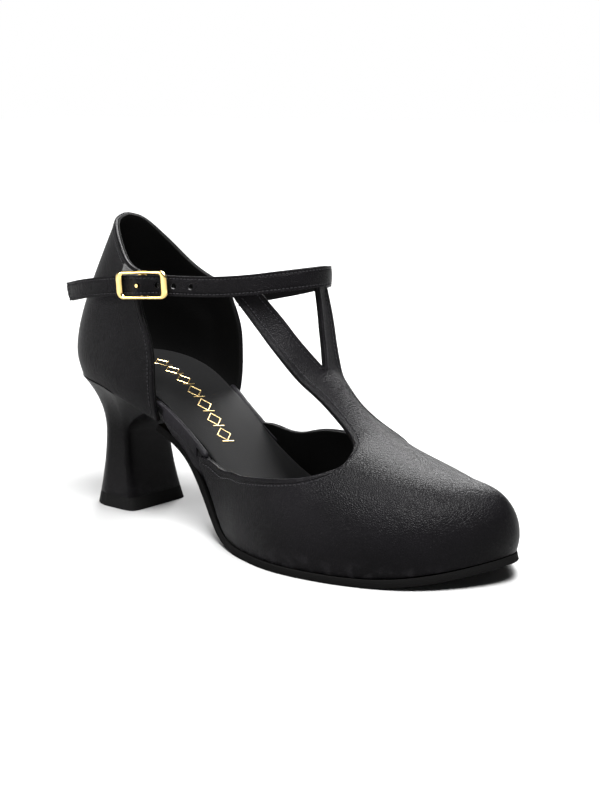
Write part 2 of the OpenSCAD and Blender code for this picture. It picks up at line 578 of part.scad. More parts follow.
// One point of a heel ring: x from rear to front, half width w at the corners
function heel_ring_pt(m, rear, front, w) =
    let (a = m <= ring_side ? lerp(45, 315, m / ring_side)
            : lerp(315, 405, (m - ring_side) / ring_breast),
        mid = (rear + front) / 2, half = (front - rear) / 2, p = cos(a) > 0 ? 2 / 9 : 1)
    [mid + half * sign(cos(a)) * pow(abs(cos(a)), p), w / 2 * sign(sin(a)) * pow(abs(sin(a)), p)];
heel_top_c = 4.2;
function heel_top_pt(m, d) =
    let (c = m <= ring_side ? lerp(-heel_top_c, heel_top_c, m / ring_side)
            : lerp(heel_top_c, -heel_top_c, (m - ring_side) / ring_breast),
        front = m > ring_side, f = (m - ring_side) / ring_breast,
        k = c >= 0 ? c : edge_n + c, e = edge(k), n = edge_out(k),
        corner = edge(heel_top_c) - edge_out(heel_top_c) * d,
        other = edge(edge_n - heel_top_c) - edge_out(edge_n - heel_top_c) * d,
        q = front ? lerp(corner, other, f) : e - n * d,
        tuck = lerp(1, 0.8, ease((q.x - 12) / 20)))
    last([q.x, q.y * tuck, line(quarter_line, q.x) - 0.4]);
neck_mid = -0.2;
base_z = top_piece_t + layer_gap;
function flare(z) = pow(clamp(1 - z / neck_z), 1.7);
// Rings up the heel; d is how far they stay inside the outer face
function heel_rings(d) = concat(
    [for (i = [0:5]) let (z = lerp(base_z, neck_z, i / 5), f = flare(z),
            l = lerp(neck_len, heel_base_len, f) / 2 - d, w = lerp(neck_w, heel_base_w, f) - 2 * d,
            mid = lerp(neck_mid, 0, f))
        [for (m = [0:ring_side + ring_breast - 1])
            let (p = heel_ring_pt(m, mid - l, mid + l, w)) [p.x, p.y, z]]],
    [for (i = [1:7]) let (f = i / 7, g = pow(f, 2.1))
        [for (m = [0:ring_side + ring_breast - 1])
            let (p = heel_ring_pt(m, neck_mid - neck_len / 2 + d, neck_mid + neck_len / 2 - d,
                    neck_w - 2 * d), t = heel_top_pt(m, d))
            [lerp(p.x, t.x, g), lerp(p.y, t.y, g), lerp(neck_z, t.z, f)]]]);
module heel_block() {
    r = heel_rings(cover_t + layer_gap);
    color("#2b2b2d") difference() {
        loft(r, [0, 0, base_z], [4, 0, board_z(4) - bottom_gap]);
        pins(fit_gap, 1);
        heel_screw_shape(fit_gap, 1);
        nails(fit_gap, 1);
    }
}
module heel_cover() {
    outer = heel_rings(0);
    inner = heel_rings(cover_t);
    color("#232225") wall(inner, outer, wrap = true);
}
module heel_top_piece() {
    rings = [for (z = [0, top_piece_t]) let (f = flare(z) / flare(0))
        [for (m = [0:ring_side + ring_breast - 1])
            let (p = heel_ring_pt(m, -lerp(neck_len, heel_base_len, f) / 2,
                    lerp(neck_len, heel_base_len, f) / 2, lerp(neck_w, heel_base_w, f)))
            [p.x, p.y, z]]];
    color("#161616") difference() {
        loft(rings, [0, 0, 0], [0, 0, top_piece_t]);
        pins(fit_gap, 0.05);
    }
}
pin_x = [-6, 5];
pin_d = 3;
pin_seat = 3.5;
pin_len = 16;
module pins(grow, long) {
    for (x = pin_x) translate([x, 0, top_piece_t - pin_seat - (grow > 0 ? 0.05 : 0)])
        cylinder(h = pin_len + long, d = pin_d + 2 * grow, $fn = 32);
}
module top_piece_pins() { color("#8f9499") pins(0, 0); }
screw_x = 2;
screw_d = 4;
screw_head_d = 8.5;
screw_len = 26;
screw_sink = 2.7;
module heel_screw_shape(grow, long) {
    translate([screw_x, 0, board_z(screw_x) + board_t - screw_sink]) {
        translate([0, 0, -grow]) cylinder(h = 1.7 + grow + long, d = screw_head_d + 2 * grow, $fn = 32);
        translate([0, 0, -screw_len - grow * 10])
            cylinder(h = screw_len + grow * 10, d = screw_d + 2 * grow, $fn = 32);
    }
}
module heel_screw() { color("#8f9499") heel_screw_shape(0, 0); }
nail_d = 1.8;
nail_len = 13;
nail_spots = [[-8, 8], [-8, -8], [13, 9], [13, -9]];
module nails(grow, long) {
    for (p = nail_spots) translate([p.x, p.y, board_z(p.x) + board_t - 1.4 - nail_len - grow * 4])
        cylinder(h = nail_len + grow * 4 + long, d = nail_d + 2 * grow, $fn = 20);
}
module heel_nails() { color("#8f9499") nails(0, 0); }

// ---- the ankle strap ----
function strap_at(k) = last(through(ring_pts, k));
function strap_dir(k) = unit(strap_at(k + 0.02) - strap_at(k - 0.02));
function strap_out(k) = let (t = strap_dir(k)) unit([-t.y, t.x, 0]);
hinge_k = 8.1;
buckle_k = 11;
tip_k = 12.14;
tail_end_k = 15.98;
joint_gap = 0.4;
half_window = buckle_len / 2 - end_bar_w;
buckle_mid = strap_at(buckle_k);
frame_in = strap_t + buckle_gap;
bar_mid = frame_in + buckle_t / 2;
// How far the strap arches out over the centre bar
arch_h = bar_mid + centre_bar_d / 2 + 0.15 + strap_lining_t + layer_gap;
function arch(k) = let (s = norm(strap_at(k) - buckle_mid) / (half_window - 0.6))
    s >= 1 ? 0 : arch_h * pow(cos(90 * s), 2);

// A flat band along the strap between two distances out from its middle line
module band(k0, k1, steps, d0, d1, cut = 0) {
    g = function(d) [for (i = [0:steps])
        let (k = lerp(k0, k1, i / steps), n = strap_out(k), p = strap_at(k),
            back = i == steps ? cut : 0, t = strap_dir(k))
        [for (s = [-1, 1]) p + n * (d + arch(k)) + [0, 0, s * strap_w / 2]
            - t * (s < 0 ? back : 0)]];
    wall(g(d0), g(d1));
}
module hole_at(k, d) {
    p = strap_at(k);
    t = strap_dir(k);
    translate(p) rotate([0, 0, atan2(t.y, t.x)]) rotate([90, 0, 0])
        translate([0, 0, -12]) cylinder(h = 24, d = d, $fn = 24);
}
// Distance along the strap for one step of k near the buckle
k_per_mm = 1 / 11.1;
hole_ks = [for (i = [0:3]) buckle_k - i * hole_pitch * k_per_mm];
function half_gap(k) = joint_gap / 2 / norm(strap_at(k + 0.5) - strap_at(k - 0.5));
module ankle_strap() {
    color("#26252b") band(0, hinge_k - half_gap(hinge_k), 34, layer_gap / 2, strap_t);
}
module ankle_strap_lining() {
    color("#19191b") band(0, hinge_k - half_gap(hinge_k), 34, -strap_lining_t, -layer_gap / 2);
}
module free_band(d0, d1) {
    difference() {
        band(hinge_k + half_gap(hinge_k), tip_k - half_gap(tip_k), 40, d0, d1);
        for (k = hole_ks) hole_at(k, hole_d);
    }
}
module free_strap() { color("#26252b") free_band(layer_gap / 2, strap_t); }
module free_strap_lining() { color("#19191b") free_band(-strap_lining_t, -layer_gap / 2); }
tail_slant = 4.2;
module strap_tip() {
    color("#26252b") band(tip_k + half_gap(tip_k), tail_end_k, 16, layer_gap / 2, strap_t, tail_slant);
}
module strap_tip_lining() {
    color("#19191b") band(tip_k + half_gap(tip_k), tail_end_k, 16, -strap_lining_t, -layer_gap / 2,
        tail_slant);
}

// ---- the buckle ----
// At the buckle: X along the strap towards the toe, Z up, and -Y outwards.
buckle_h = strap_w + 2 * strap_play + 2 * side_bar_w;
module at_buckle() {
    t = -strap_dir(buckle_k);
    translate(buckle_mid) rotate([0, 0, atan2(t.y, t.x)]) rotate([0, -asin(t.z), 0]) children();
}
module round_bar_shape(l, h, r) {
    square([l - 2 * r, h], center = true);
    square([l, h - 2 * r], center = true);
    for (x = [-1, 1], y = [-1, 1]) translate([x * (l / 2 - r), y * (h / 2 - r)])
        circle(r = r, $fn = 32);
}
module buckle_frame() {
    color("#d9b65a") at_buckle() difference() {
        translate([0, -frame_in, 0]) rotate([90, 0, 0]) linear_extrude(buckle_t) difference() {
            round_bar_shape(buckle_len, buckle_h, 2.6);
            round_bar_shape(2 * half_window, buckle_h - 2 * side_bar_w, 1.2);
        }
        translate([0, -bar_mid, -buckle_h / 2 - 1])
            cylinder(h = buckle_h + 2, d = centre_bar_d + 0.06, $fn = 32);
    }
}
module buckle_centre_bar() {
    color("#d9b65a") at_buckle() {
        translate([0, -bar_mid, -buckle_h / 2 + 0.4])
            cylinder(h = buckle_h - 0.8, d = centre_bar_d, $fn = 32);
        translate([0, -bar_mid, 0]) rotate([90, 0, 0])
            cylinder(h = arch_h + strap_t + 0.7 - bar_mid, d = stud_d, $fn = 32);
    }
}
stud_d = 1.5;
hook_t = 0.7;
hook_w = 3.4;
post_w = 1.2;
lip_len = 1.4;
loop_t = 0.8;
loop_gap = 0.35;
loop_h = 7;
slot_h = 4.8;
// The loop's faces lie this far inside the strap's middle line
loop_near = strap_lining_t + loop_gap;
loop_far = loop_near + loop_t;
hook_gap = 0.3;
lip_t = 0.7;
post_in = loop_far + hook_gap + lip_t;
module hook_box(x0, x1, y0, y1, h) {
    translate([x0, min(y0, y1), -h / 2]) cube([x1 - x0, abs(y1 - y0), h]);
}
module buckle_hook() {
    color("#c9a64e") at_buckle() {
        hook_box(-2, 2, -frame_in, -frame_in + hook_t, buckle_h);
        hook_box(-post_w / 2, post_w / 2, -frame_in + hook_t, post_in, hook_w);
        hook_box(-post_w / 2, post_w / 2 + lip_len, post_in - lip_t, post_in, hook_w);
    }
}
// An elastic sewn to the outer quarter; its slot catches the hook's post
loop_cs = [3.05, 3.3, 3.55, 3.75];
function loop_row(x, y) = let (t = -strap_dir(buckle_k))
    [for (h = [-1, 1]) buckle_mid + t * x - strap_out(buckle_k) * y + [0, 0, h * loop_h / 2]];
module elastic_loop() {
    g = function(d) concat(
        [for (c = loop_cs) [for (v = [0.86, 0.98])
            let (n = edge_out(c)) quarter_pt(c, v) + [n.x, n.y, 0] * (0.3 + d)]],
        [for (x = [-4.8, 6.6]) loop_row(x, loop_far - d)]);
    color("#111112") difference() {
        wall(g(loop_t), g(0));
        at_buckle() hook_box(-3.6, 4.6, loop_near - 1, loop_far + 1, slot_h);
    }
}

vamp_outer();
vamp_lining();
t_strap_lining();
toe_puff();
quarter_outer_side();
quarter_inner_side();
heel_counter();
quarter_lining();
insole_board();
steel_shank();
shank_rivets();
sock_foam();
sock_lining();
insole_wrap();
waist_filler();
forepart_filler();
waist_cover();
outsole();
heel_block();
heel_cover();
heel_top_piece();
top_piece_pins();
heel_screw();
heel_nails();
ankle_strap();
ankle_strap_lining();
free_strap();
free_strap_lining();
strap_tip();
strap_tip_lining();
buckle_frame();
buckle_centre_bar();
buckle_hook();
elastic_loop();
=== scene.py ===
# %% [markdown]
# # A black character tap shoe, made on a fixed frame
# The shoe has a leather upper with a split T-strap, an ankle strap with a gold
# buckle, a padded sock, a thin leather sole and a flared covered heel. A solid
# model already says where every part is, so this lesson keeps those places and
# gives each part its real surface: soft edges, seams, stitches and grain.
# Lengths below are in millimetres until the moment a mesh is made.

# %% Load the solid model and group its parts into bodies
import json
import math
import bmesh
import bpy
import numpy as np
from mathutils import Matrix, Vector
from mathutils.bvhtree import BVHTree

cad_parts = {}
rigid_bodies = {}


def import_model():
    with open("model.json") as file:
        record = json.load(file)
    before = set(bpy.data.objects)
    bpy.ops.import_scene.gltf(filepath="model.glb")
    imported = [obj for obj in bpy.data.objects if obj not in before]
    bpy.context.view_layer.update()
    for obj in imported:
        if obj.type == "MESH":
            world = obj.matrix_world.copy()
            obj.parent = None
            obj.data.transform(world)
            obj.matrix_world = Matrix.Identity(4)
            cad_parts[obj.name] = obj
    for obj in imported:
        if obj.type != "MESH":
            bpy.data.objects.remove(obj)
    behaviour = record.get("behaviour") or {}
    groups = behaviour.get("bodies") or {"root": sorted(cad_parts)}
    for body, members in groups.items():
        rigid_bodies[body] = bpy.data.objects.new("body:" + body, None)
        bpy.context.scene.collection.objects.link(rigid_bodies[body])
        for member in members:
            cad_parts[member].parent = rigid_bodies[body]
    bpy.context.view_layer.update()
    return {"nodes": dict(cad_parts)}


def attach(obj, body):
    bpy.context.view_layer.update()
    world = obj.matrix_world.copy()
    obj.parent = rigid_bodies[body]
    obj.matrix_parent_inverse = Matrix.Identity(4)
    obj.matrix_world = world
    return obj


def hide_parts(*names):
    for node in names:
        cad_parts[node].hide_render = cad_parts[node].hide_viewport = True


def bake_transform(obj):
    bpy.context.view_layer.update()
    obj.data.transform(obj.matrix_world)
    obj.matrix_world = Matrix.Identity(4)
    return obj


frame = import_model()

MM = 0.001
SIDES = ((-1, "outer"), (1, "inner"))
scene_objects = bpy.context.scene.collection.objects

# %% [markdown]
# ## Camera, floor and light
# A black surface shows only what it reflects, so a black shoe needs large, soft
# lights and dark surroundings above a white horizon. The camera stands low in
# front of the shoe's outer side, with a long lens that keeps the shape honest.
# Its direction is built from three plain angles.

# %% Camera
def camera_axes(yaw, pitch, roll):
    """Right, up and forward directions of a camera that looks down by pitch."""
    y, p, r = (math.radians(a) for a in (yaw, pitch, roll))
    forward = Vector((-math.cos(p) * math.cos(y), math.cos(p) * math.sin(y), -math.sin(p)))
    level = forward.cross(Vector((0, 0, 1))).normalized()
    above = level.cross(forward)
    right = math.cos(r) * level + math.sin(r) * above
    return right, right.cross(forward), forward


CAMERA_AT = Vector((481.36, -472.14, 178.72)) * MM
right, up, forward = camera_axes(yaw=50.75, pitch=11.23, roll=0.19)
lens = bpy.data.cameras.new("portrait_lens")
lens.lens = 91.73
lens.sensor_fit, lens.sensor_width = "HORIZONTAL", 36
camera = bpy.data.objects.new("camera", lens)
place = Matrix((right, up, -forward)).transposed().to_4x4()
place.translation = CAMERA_AT
camera.matrix_world = place
scene_objects.link(camera)
bpy.context.scene.camera = camera
print("camera at", [round(c, 3) for c in place.translation])


# %% Soft lights
SHOE_MIDDLE = Vector((0.09, 0, 0.05))
LAMPS = {"main_box": ((0.42, -0.30, 1.15), 0.65, 63), "back_box": ((-0.30, 0.80, 0.70), 0.6, 22),
         "side_box": ((-0.60, -0.95, 0.40), 0.4, 9)}


def softbox(name, at, size, power):
    """A square area light that shines on the middle of the shoe."""
    data = bpy.data.lights.new(name, "AREA")
    data.shape, data.size, data.energy = "SQUARE", size, power
    lamp = bpy.data.objects.new(name, data)
    lamp.location = at
    lamp.rotation_euler = (SHOE_MIDDLE - Vector(at)).to_track_quat("-Z", "Y").to_euler()
    scene_objects.link(lamp)


for lamp_name, (lamp_at, lamp_size, lamp_power) in LAMPS.items():
    softbox(lamp_name, lamp_at, lamp_size, lamp_power)
print(len(LAMPS), "lamps")

# %% A world that is white at the horizon and dark above
world = bpy.data.worlds.new("studio")
world.use_nodes = True
sky = world.node_tree
heading = sky.nodes.new("ShaderNodeTexCoord")
split = sky.nodes.new("ShaderNodeSeparateXYZ")
fade = sky.nodes.new("ShaderNodeMapRange")
sky.links.new(heading.outputs["Generated"], split.inputs[0])
sky.links.new(split.outputs["Z"], fade.inputs["Value"])
for socket, value in (("From Min", 0.09), ("From Max", 0.2), ("To Min", 1.0), ("To Max", 0.06)):
    fade.inputs[socket].default_value = value
sky.links.new(fade.outputs[0], sky.nodes["Background"].inputs["Strength"])
sky.nodes["Background"].inputs["Color"].default_value = (1, 1, 1, 1)
bpy.context.scene.world = world
bpy.context.scene.view_settings.view_transform = "Standard"
bpy.context.scene.view_settings.look = "None"
print("world made")

# %% [markdown]
# ## Curves that shape the shoe
# A shoe is drawn from a few lines: the feather edge where the upper meets the
# sole, height lines along the foot, and the strap's middle line. Each is a short
# list of points with a smooth curve through them, so a handful of numbers gives
# a surface that can be sampled as finely as a mesh needs.

# %% Smooth curves through points
def lerp(a, b, f):
    return a + (b - a) * f


def clamp(x, low=0.0, high=1.0):
    return min(high, max(low, x))


def ease(x):
    c = clamp(x)
    return c * c * (3 - 2 * c)


def unit(v):
    return v / max(np.linalg.norm(v), 1e-9)


def blend_four(a, b, c, d, f):
    """A smooth step from b to c that knows its neighbours a and d."""
    return 0.5 * (2 * b + (c - a) * f + (2 * a - 5 * b + 4 * c - d) * f * f
                  + (3 * b - a - 3 * c + d) * f ** 3)


def through(points, k):
    """The smooth curve through points; k = 1 is the second one."""
    end = len(points) - 1
    i = int(clamp(math.floor(k), 0, end - 1))
    return blend_four(points[max(i - 1, 0)], points[i], points[i + 1],
                      points[min(i + 2, end)], k - i)


def height_at(table, x):
    """A smooth height along the shoe from (x, height) pairs."""
    end = len(table) - 1
    i = max([j for j in range(end) if j == 0 or x >= table[j][0]])

    def slope(j):
        a, b = table[max(j - 1, 0)], table[min(j + 1, end)]
        return (b[1] - a[1]) / (b[0] - a[0])

    w = table[i + 1][0] - table[i][0]
    f = clamp((x - table[i][0]) / w)
    return ((2 * f ** 3 - 3 * f * f + 1) * table[i][1] + (f ** 3 - 2 * f * f + f) * w * slope(i)
            + (3 * f * f - 2 * f ** 3) * table[i + 1][1] + (f ** 3 - f * f) * w * slope(i + 1))


def points_of(*rows):
    return [np.array(r, float) for r in rows]


print("half way up a ramp:", ease(0.5))

# %% The feather edge, seen from above
# From the back of the heel, along the outer side to the toe, and back again.
feather_points = points_of(
    (-20.5, 0), (-17, -13), (-7, -23), (10, -27.5), (28, -27.5), (50, -24.5), (72, -27),
    (95, -37.5), (118, -43.3), (145, -40.5), (169, -31), (186, -14.5), (194.4, 4.5),
    (186.5, 20), (170, 31.5), (145, 36), (122, 34), (98, 27.5), (74, 21.5), (50, 21.5),
    (28, 26), (10, 27), (-7, 23), (-17, 13))
ROUND = len(feather_points)


def feather(k):
    i = math.floor(k)
    return blend_four(*(feather_points[(i + j) % ROUND] for j in (-1, 0, 1, 2)), k - i)


def feather_out(k):
    """The direction away from the foot, level with the ground."""
    t = feather(k + 0.01) - feather(k - 0.01)
    return unit(np.array([t[1], -t[0]]))


def both_sides(side, k):
    """The same place counted along the outer (-1) or the inner (+1) side."""
    return k if side < 0 else ROUND - k


print("toe end of the feather edge:", feather(12))

# %% Height lines: sock, lower edges of the upper, and the sole's underside
sock_line = [(-22, 66), (0, 65.5), (20, 62), (36, 56), (52, 45.5), (69, 33), (85, 21),
             (100, 14), (115, 11.6), (140, 11.2), (165, 12.4), (185, 15), (198, 18.5)]
quarter_line = [(-22, 59.5), (0, 58), (10, 56.4), (28, 50), (44, 43)]
vamp_line = [(60, 33), (66, 26), (72, 16.3), (79, 6.6), (88, 3.9), (100, 3.4), (150, 3.4),
             (165, 4.4), (180, 6.8), (198, 11.5)]
under_line = [(14, 45.5), (30, 41), (42, 34.5), (52, 26.5), (62, 15.5), (70, 7.5), (78, 2.6),
              (88, 0.4), (100, 0), (150, 0), (165, 0.9), (180, 3.2), (198, 8)]
leather_t, stiffener_t, lining_t, layer_gap = 1.2, 0.8, 0.8, 0.06
under_leather = leather_t + layer_gap
print("heel seat", height_at(sock_line, 0), "mm up, ball", height_at(sock_line, 130))

# %% The ankle strap's middle line
ring_points = points_of(
    (39.2, 26.9, 92.3), (54, 26.4, 96), (76, 23.8, 101), (93, 19.2, 105.4), (102, 9, 108),
    (100.8, -4.5, 108), (93, -13.6, 106.8), (84, -18.6, 105.4), (72, -22.6, 104.1),
    (60, -26.4, 103.6), (49.5, -29.4, 103.5), (38.5, -30.6, 103.1), (25, -32.1, 101.7),
    (13, -32.4, 100.2), (3, -30.9, 98.6), (-6, -28, 96.8), (-14.5, -24.2, 95.1))


def strap_at(k):
    return through(ring_points, k)


def strap_along(k):
    return unit(strap_at(k + 0.02) - strap_at(k - 0.02))


def strap_out(k):
    t = strap_along(k)
    return unit(np.array([-t[1], t[0], 0]))


print("strap's front:", strap_at(4.5).round(1))

# %% [markdown]
# ## From a coarse grid to soft leather
# Leather pulled over a last has no flat facets. Each leather part therefore
# starts as a coarse sheet of four-sided cells, Subdivision Surface makes it
# smooth, Solidify gives it its thickness inwards, and a Bevel rounds its cut
# edges. The smooth sheet is also kept as a search tree, so that seams and
# stitches can be laid exactly on it.

# %% Mesh helpers
def new_object(name, verts, faces, edges=()):
    """A mesh object from points in millimetres."""
    mesh = bpy.data.meshes.new(name)
    mesh.from_pydata([tuple(np.asarray(v, float) * MM) for v in verts], list(edges), faces)
    mesh.update()
    obj = bpy.data.objects.new(name, mesh)
    scene_objects.link(obj)
    return obj


def bake_modifiers(obj):
    """Replaces the mesh by what its modifiers make, and removes them."""
    bpy.context.view_layer.update()
    graph = bpy.context.evaluated_depsgraph_get()
    made = bpy.data.meshes.new_from_object(obj.evaluated_get(graph))
    obj.modifiers.clear()
    old, obj.data = obj.data, made
    made.name = obj.name
    bpy.data.meshes.remove(old)
    return obj


def add_modifier(obj, kind, **settings):
    modifier = obj.modifiers.new(kind.title(), kind)
    for key, value in settings.items():
        setattr(modifier, key, value)
    return modifier


def shade_smooth(obj, angle=None):
    """Smooth shading; with an angle, sharper edges than that stay crisp."""
    mesh = obj.data
    mesh.polygons.foreach_set("use_smooth", [True] * len(mesh.polygons))
    if angle is not None:
        mesh.set_sharp_from_angle(angle=math.radians(angle))
    return obj


def face_outwards(obj):
    """Turns every face of a closed mesh outwards."""
    mesh = bmesh.new()
    mesh.from_mesh(obj.data)
    bmesh.ops.recalc_face_normals(mesh, faces=mesh.faces)
    mesh.to_mesh(obj.data)
    mesh.free()
    return obj


def tube_faces(rings, sides, closed=False):
    """Faces of a tube listed ring by ring; one that isn't closed gets two caps."""
    faces = [(i * sides + s, i * sides + (s + 1) % sides, (i + 1) % rings * sides + (s + 1) % sides,
              (i + 1) % rings * sides + s)
             for i in range(rings if closed else rings - 1) for s in range(sides)]
    if not closed:
        last_ring = (rings - 1) * sides
        faces += [tuple(reversed(range(sides))), tuple(last_ring + s for s in range(sides))]
    return faces


def triangles_of(obj):
    return sum(len(p.vertices) - 2 for p in obj.data.polygons)


print("helpers ready")

# %% One leather part from a sheet of cells
def soft_sheet(name, verts, cells, outward, thickness, levels=2, edge_round=0.35):
    """A smooth wall; outward gives each vertex's outer direction."""
    faces = []
    for cell in cells:
        a, b, c, d = (np.asarray(verts[i]) for i in cell)
        looks = sum(np.asarray(outward[i]) for i in cell)
        faces.append(tuple(cell) if np.cross(c - a, d - b) @ looks > 0 else tuple(cell[::-1]))
    obj = new_object(name, verts, faces)
    add_modifier(obj, "SUBSURF", levels=levels, render_levels=levels,
                 boundary_smooth="PRESERVE_CORNERS")
    bake_modifiers(obj)
    tree = BVHTree.FromPolygons([v.co for v in obj.data.vertices],
                                [tuple(p.vertices) for p in obj.data.polygons])
    add_modifier(obj, "SOLIDIFY", thickness=thickness * MM, offset=-1, use_even_offset=True)
    if edge_round:
        add_modifier(obj, "BEVEL", width=edge_round * MM, segments=2, limit_method="ANGLE",
                     angle_limit=math.radians(50))
    return shade_smooth(bake_modifiers(obj)), tree


def grid_cells(rows, cols, wrap=False):
    """Cells of a full grid whose points are listed row by row."""
    step = cols if wrap else cols - 1
    return [(i * cols + j, i * cols + (j + 1) % cols, (i + 1) * cols + (j + 1) % cols,
             (i + 1) * cols + j) for i in range(rows - 1) for j in range(step)]


def grid_normals(grid, wrap=False):
    """A normal at each grid point, from its neighbours."""
    g = np.asarray(grid, float)
    down = np.gradient(g, axis=0)
    if wrap:
        side = np.roll(g, -1, axis=1) - np.roll(g, 1, axis=1)
    else:
        side = np.gradient(g, axis=1)
    n = np.cross(down, side)
    return n / np.maximum(np.linalg.norm(n, axis=2, keepdims=True), 1e-9)


def soft_grid(name, grid, thickness, flip=False, **more):
    """A soft sheet from a full grid; flip turns its outside round."""
    g = np.asarray(grid, float)
    n = grid_normals(g) * (-1 if flip else 1)
    return soft_sheet(name, g.reshape(-1, 3), grid_cells(*g.shape[:2]), n.reshape(-1, 3),
                      thickness, **more)


print("sheet tools ready")

# %% [markdown]
# ## Finishes
# All finishes are procedural. A small class wraps a node's output so that shader
# maths reads like plain arithmetic, and one method makes every other node. Fine
# grain comes from cell patterns fed to a Bump node, while slow noise changes the
# colour and the gloss a little, as years of polish and wear do.

# %% Shader arithmetic
class Wire:
    """One node output. Arithmetic on it adds Math nodes."""

    def __init__(self, finish, socket):
        self.finish, self.socket = finish, socket

    def maths(self, operation, *others):
        return self.finish.node("Math", {"operation": operation},
                                dict(enumerate((self, *others))))

    def __add__(self, other):
        return self.maths("ADD", other)

    __radd__ = __add__

    def __mul__(self, other):
        return self.maths("MULTIPLY", other)

    __rmul__ = __mul__

    def __sub__(self, other):
        return self.maths("SUBTRACT", other)

    def __rsub__(self, other):
        return self * -1 + other

    def __pow__(self, other):
        return self.maths("POWER", other)

    def between(self, low, high):
        """0 at low and 1 at high, and clamped outside them."""
        return self.finish.node("MapRange", {}, {"Value": self, "From Min": low,
                                                 "From Max": high})


class Finish:
    """A material under construction."""

    def __init__(self, name):
        self.material = bpy.data.materials.new(name)
        self.material.use_nodes = True
        self.tree = self.material.node_tree
        self.shader = self.tree.nodes["Principled BSDF"]

    def put(self, socket, value):
        if isinstance(value, Wire):
            self.tree.links.new(value.socket, socket)
        elif socket.type == "RGBA" and len(value) == 3:
            socket.default_value = (*value, 1)
        else:
            socket.default_value = value

    def node(self, kind, settings, sockets, out=0):
        """Adds a node and returns one of its outputs."""
        made = self.tree.nodes.new("ShaderNode" + kind)
        for key, value in settings.items():
            setattr(made, key, value)
        for key, value in sockets.items():
            self.put(made.inputs[key], value)
        return Wire(self, made.outputs[out])

    def place(self, stretch=(1, 1, 1), turn=(0, 0, 0)):
        """Object coordinates, scaled and turned."""
        where = self.node("TexCoord", {}, {}, "Object")
        return self.node("Mapping", {}, {"Vector": where, "Scale": stretch, "Rotation": turn})

    def noise(self, scale, detail=2, where=None, distortion=0.0):
        return self.node("TexNoise", {}, {"Vector": where or self.place(), "Scale": scale,
                                          "Detail": detail, "Distortion": distortion})

    def cells(self, scale, where=None, feature="F1"):
        return self.node("TexVoronoi", {"feature": feature},
                         {"Vector": where or self.place(), "Scale": scale})

    def mix(self, a, b, share):
        """A colour between a and b."""
        made = self.tree.nodes.new("ShaderNodeMix")
        made.data_type = "RGBA"
        self.put(made.inputs[0], share)
        self.put(made.inputs[6], a)
        self.put(made.inputs[7], b)
        return Wire(self, made.outputs[2])

    def bump(self, height, depth, strength=1.0, over=None):
        sockets = {"Height": height, "Distance": depth * MM, "Strength": strength}
        if over is not None:
            sockets["Normal"] = over
        return self.node("Bump", {}, sockets)

    def done(self, **values):
        for key, value in values.items():
            self.put(self.shader.inputs[key.replace("_", " ")], value)
        return self.material


print("shader tools ready")

# %% Grained black leather
def leather_finish(name, dark, light, grain, depth, gloss, crease=0.0, scuff=0.0):
    """Grain cells grain mm wide and depth mm deep, over slow wrinkles."""
    f = Finish(name)
    pebble = f.cells(1000 / grain, feature="DISTANCE_TO_EDGE").between(0.0, 0.28)
    pore = f.noise(1000 / (grain * 0.45), 3)
    cloud = f.noise(38, 3)
    wrinkle = f.noise(120, 2, f.place((1, 0.35, 1), (0.3, 0.2, 0.9)), 1.5)
    fold = (1 - (wrinkle - 0.5).maths("ABSOLUTE").between(0.0, 0.05)) * cloud.between(0.45, 0.62)
    low = f.node("SeparateXYZ", {}, {"Vector": f.place()}, 2)
    rubbed = (1 - low.between(0.002, 0.011)) * f.noise(260, 4).between(0.5, 0.68) * scuff
    tone = cloud.between(0.3, 0.7) * 0.6 + pebble * 0.4
    fine = f.bump(pebble * 0.75 + pore * 0.35, depth)
    waved = f.bump(fold * -1, 0.22, crease, fine) if crease else fine
    return f.done(Base_Color=f.mix(f.mix(dark, light, tone), [c * 4 + 0.02 for c in light], rubbed),
                  Roughness=gloss + cloud.between(0.25, 0.75) * 0.09 - pebble * 0.05 + rubbed * 0.25,
                  Normal=waved, Specular_IOR_Level=0.05)


black = (0.0015, 0.0014, 0.0016)
upper_leather = leather_finish("upper_leather", black, (0.0042, 0.0038, 0.0046), 0.85, 0.11, 0.36,
                               crease=0.3, scuff=0.3)
strap_leather = leather_finish("strap_leather", black, (0.0050, 0.0046, 0.0054), 0.8, 0.12, 0.36,
                               crease=0.9)
heel_leather = leather_finish("heel_leather", black, (0.0036, 0.0033, 0.0038), 0.85, 0.07, 0.36,
                              scuff=0.3)
edge_leather = leather_finish("edge_leather", (0.004, 0.004, 0.0045), (0.010, 0.009, 0.011), 0.6,
                              0.04, 0.42, crease=0.3)
print("leathers:", [m.name for m in bpy.data.materials if "leather" in m.name])

# %% Lining, sock and sole
def matt_finish(name, dark, light, grain, depth, gloss, sheen=0.0, fibres=(1, 1, 1),
                shine=0.04):
    """A matt finish of fine fibres or pores; fibres stretches them one way."""
    f = Finish(name)
    pores = f.noise(1000 / grain, 4, f.place(fibres))
    cloud = f.noise(30, 3)
    return f.done(Base_Color=f.mix(dark, light, pores * 0.5 + cloud * 0.5),
                  Roughness=gloss + cloud.between(0.2, 0.8) * 0.12,
                  Normal=f.bump(pores + cloud * 0.3, depth), Sheen_Weight=sheen,
                  Specular_IOR_Level=shine)


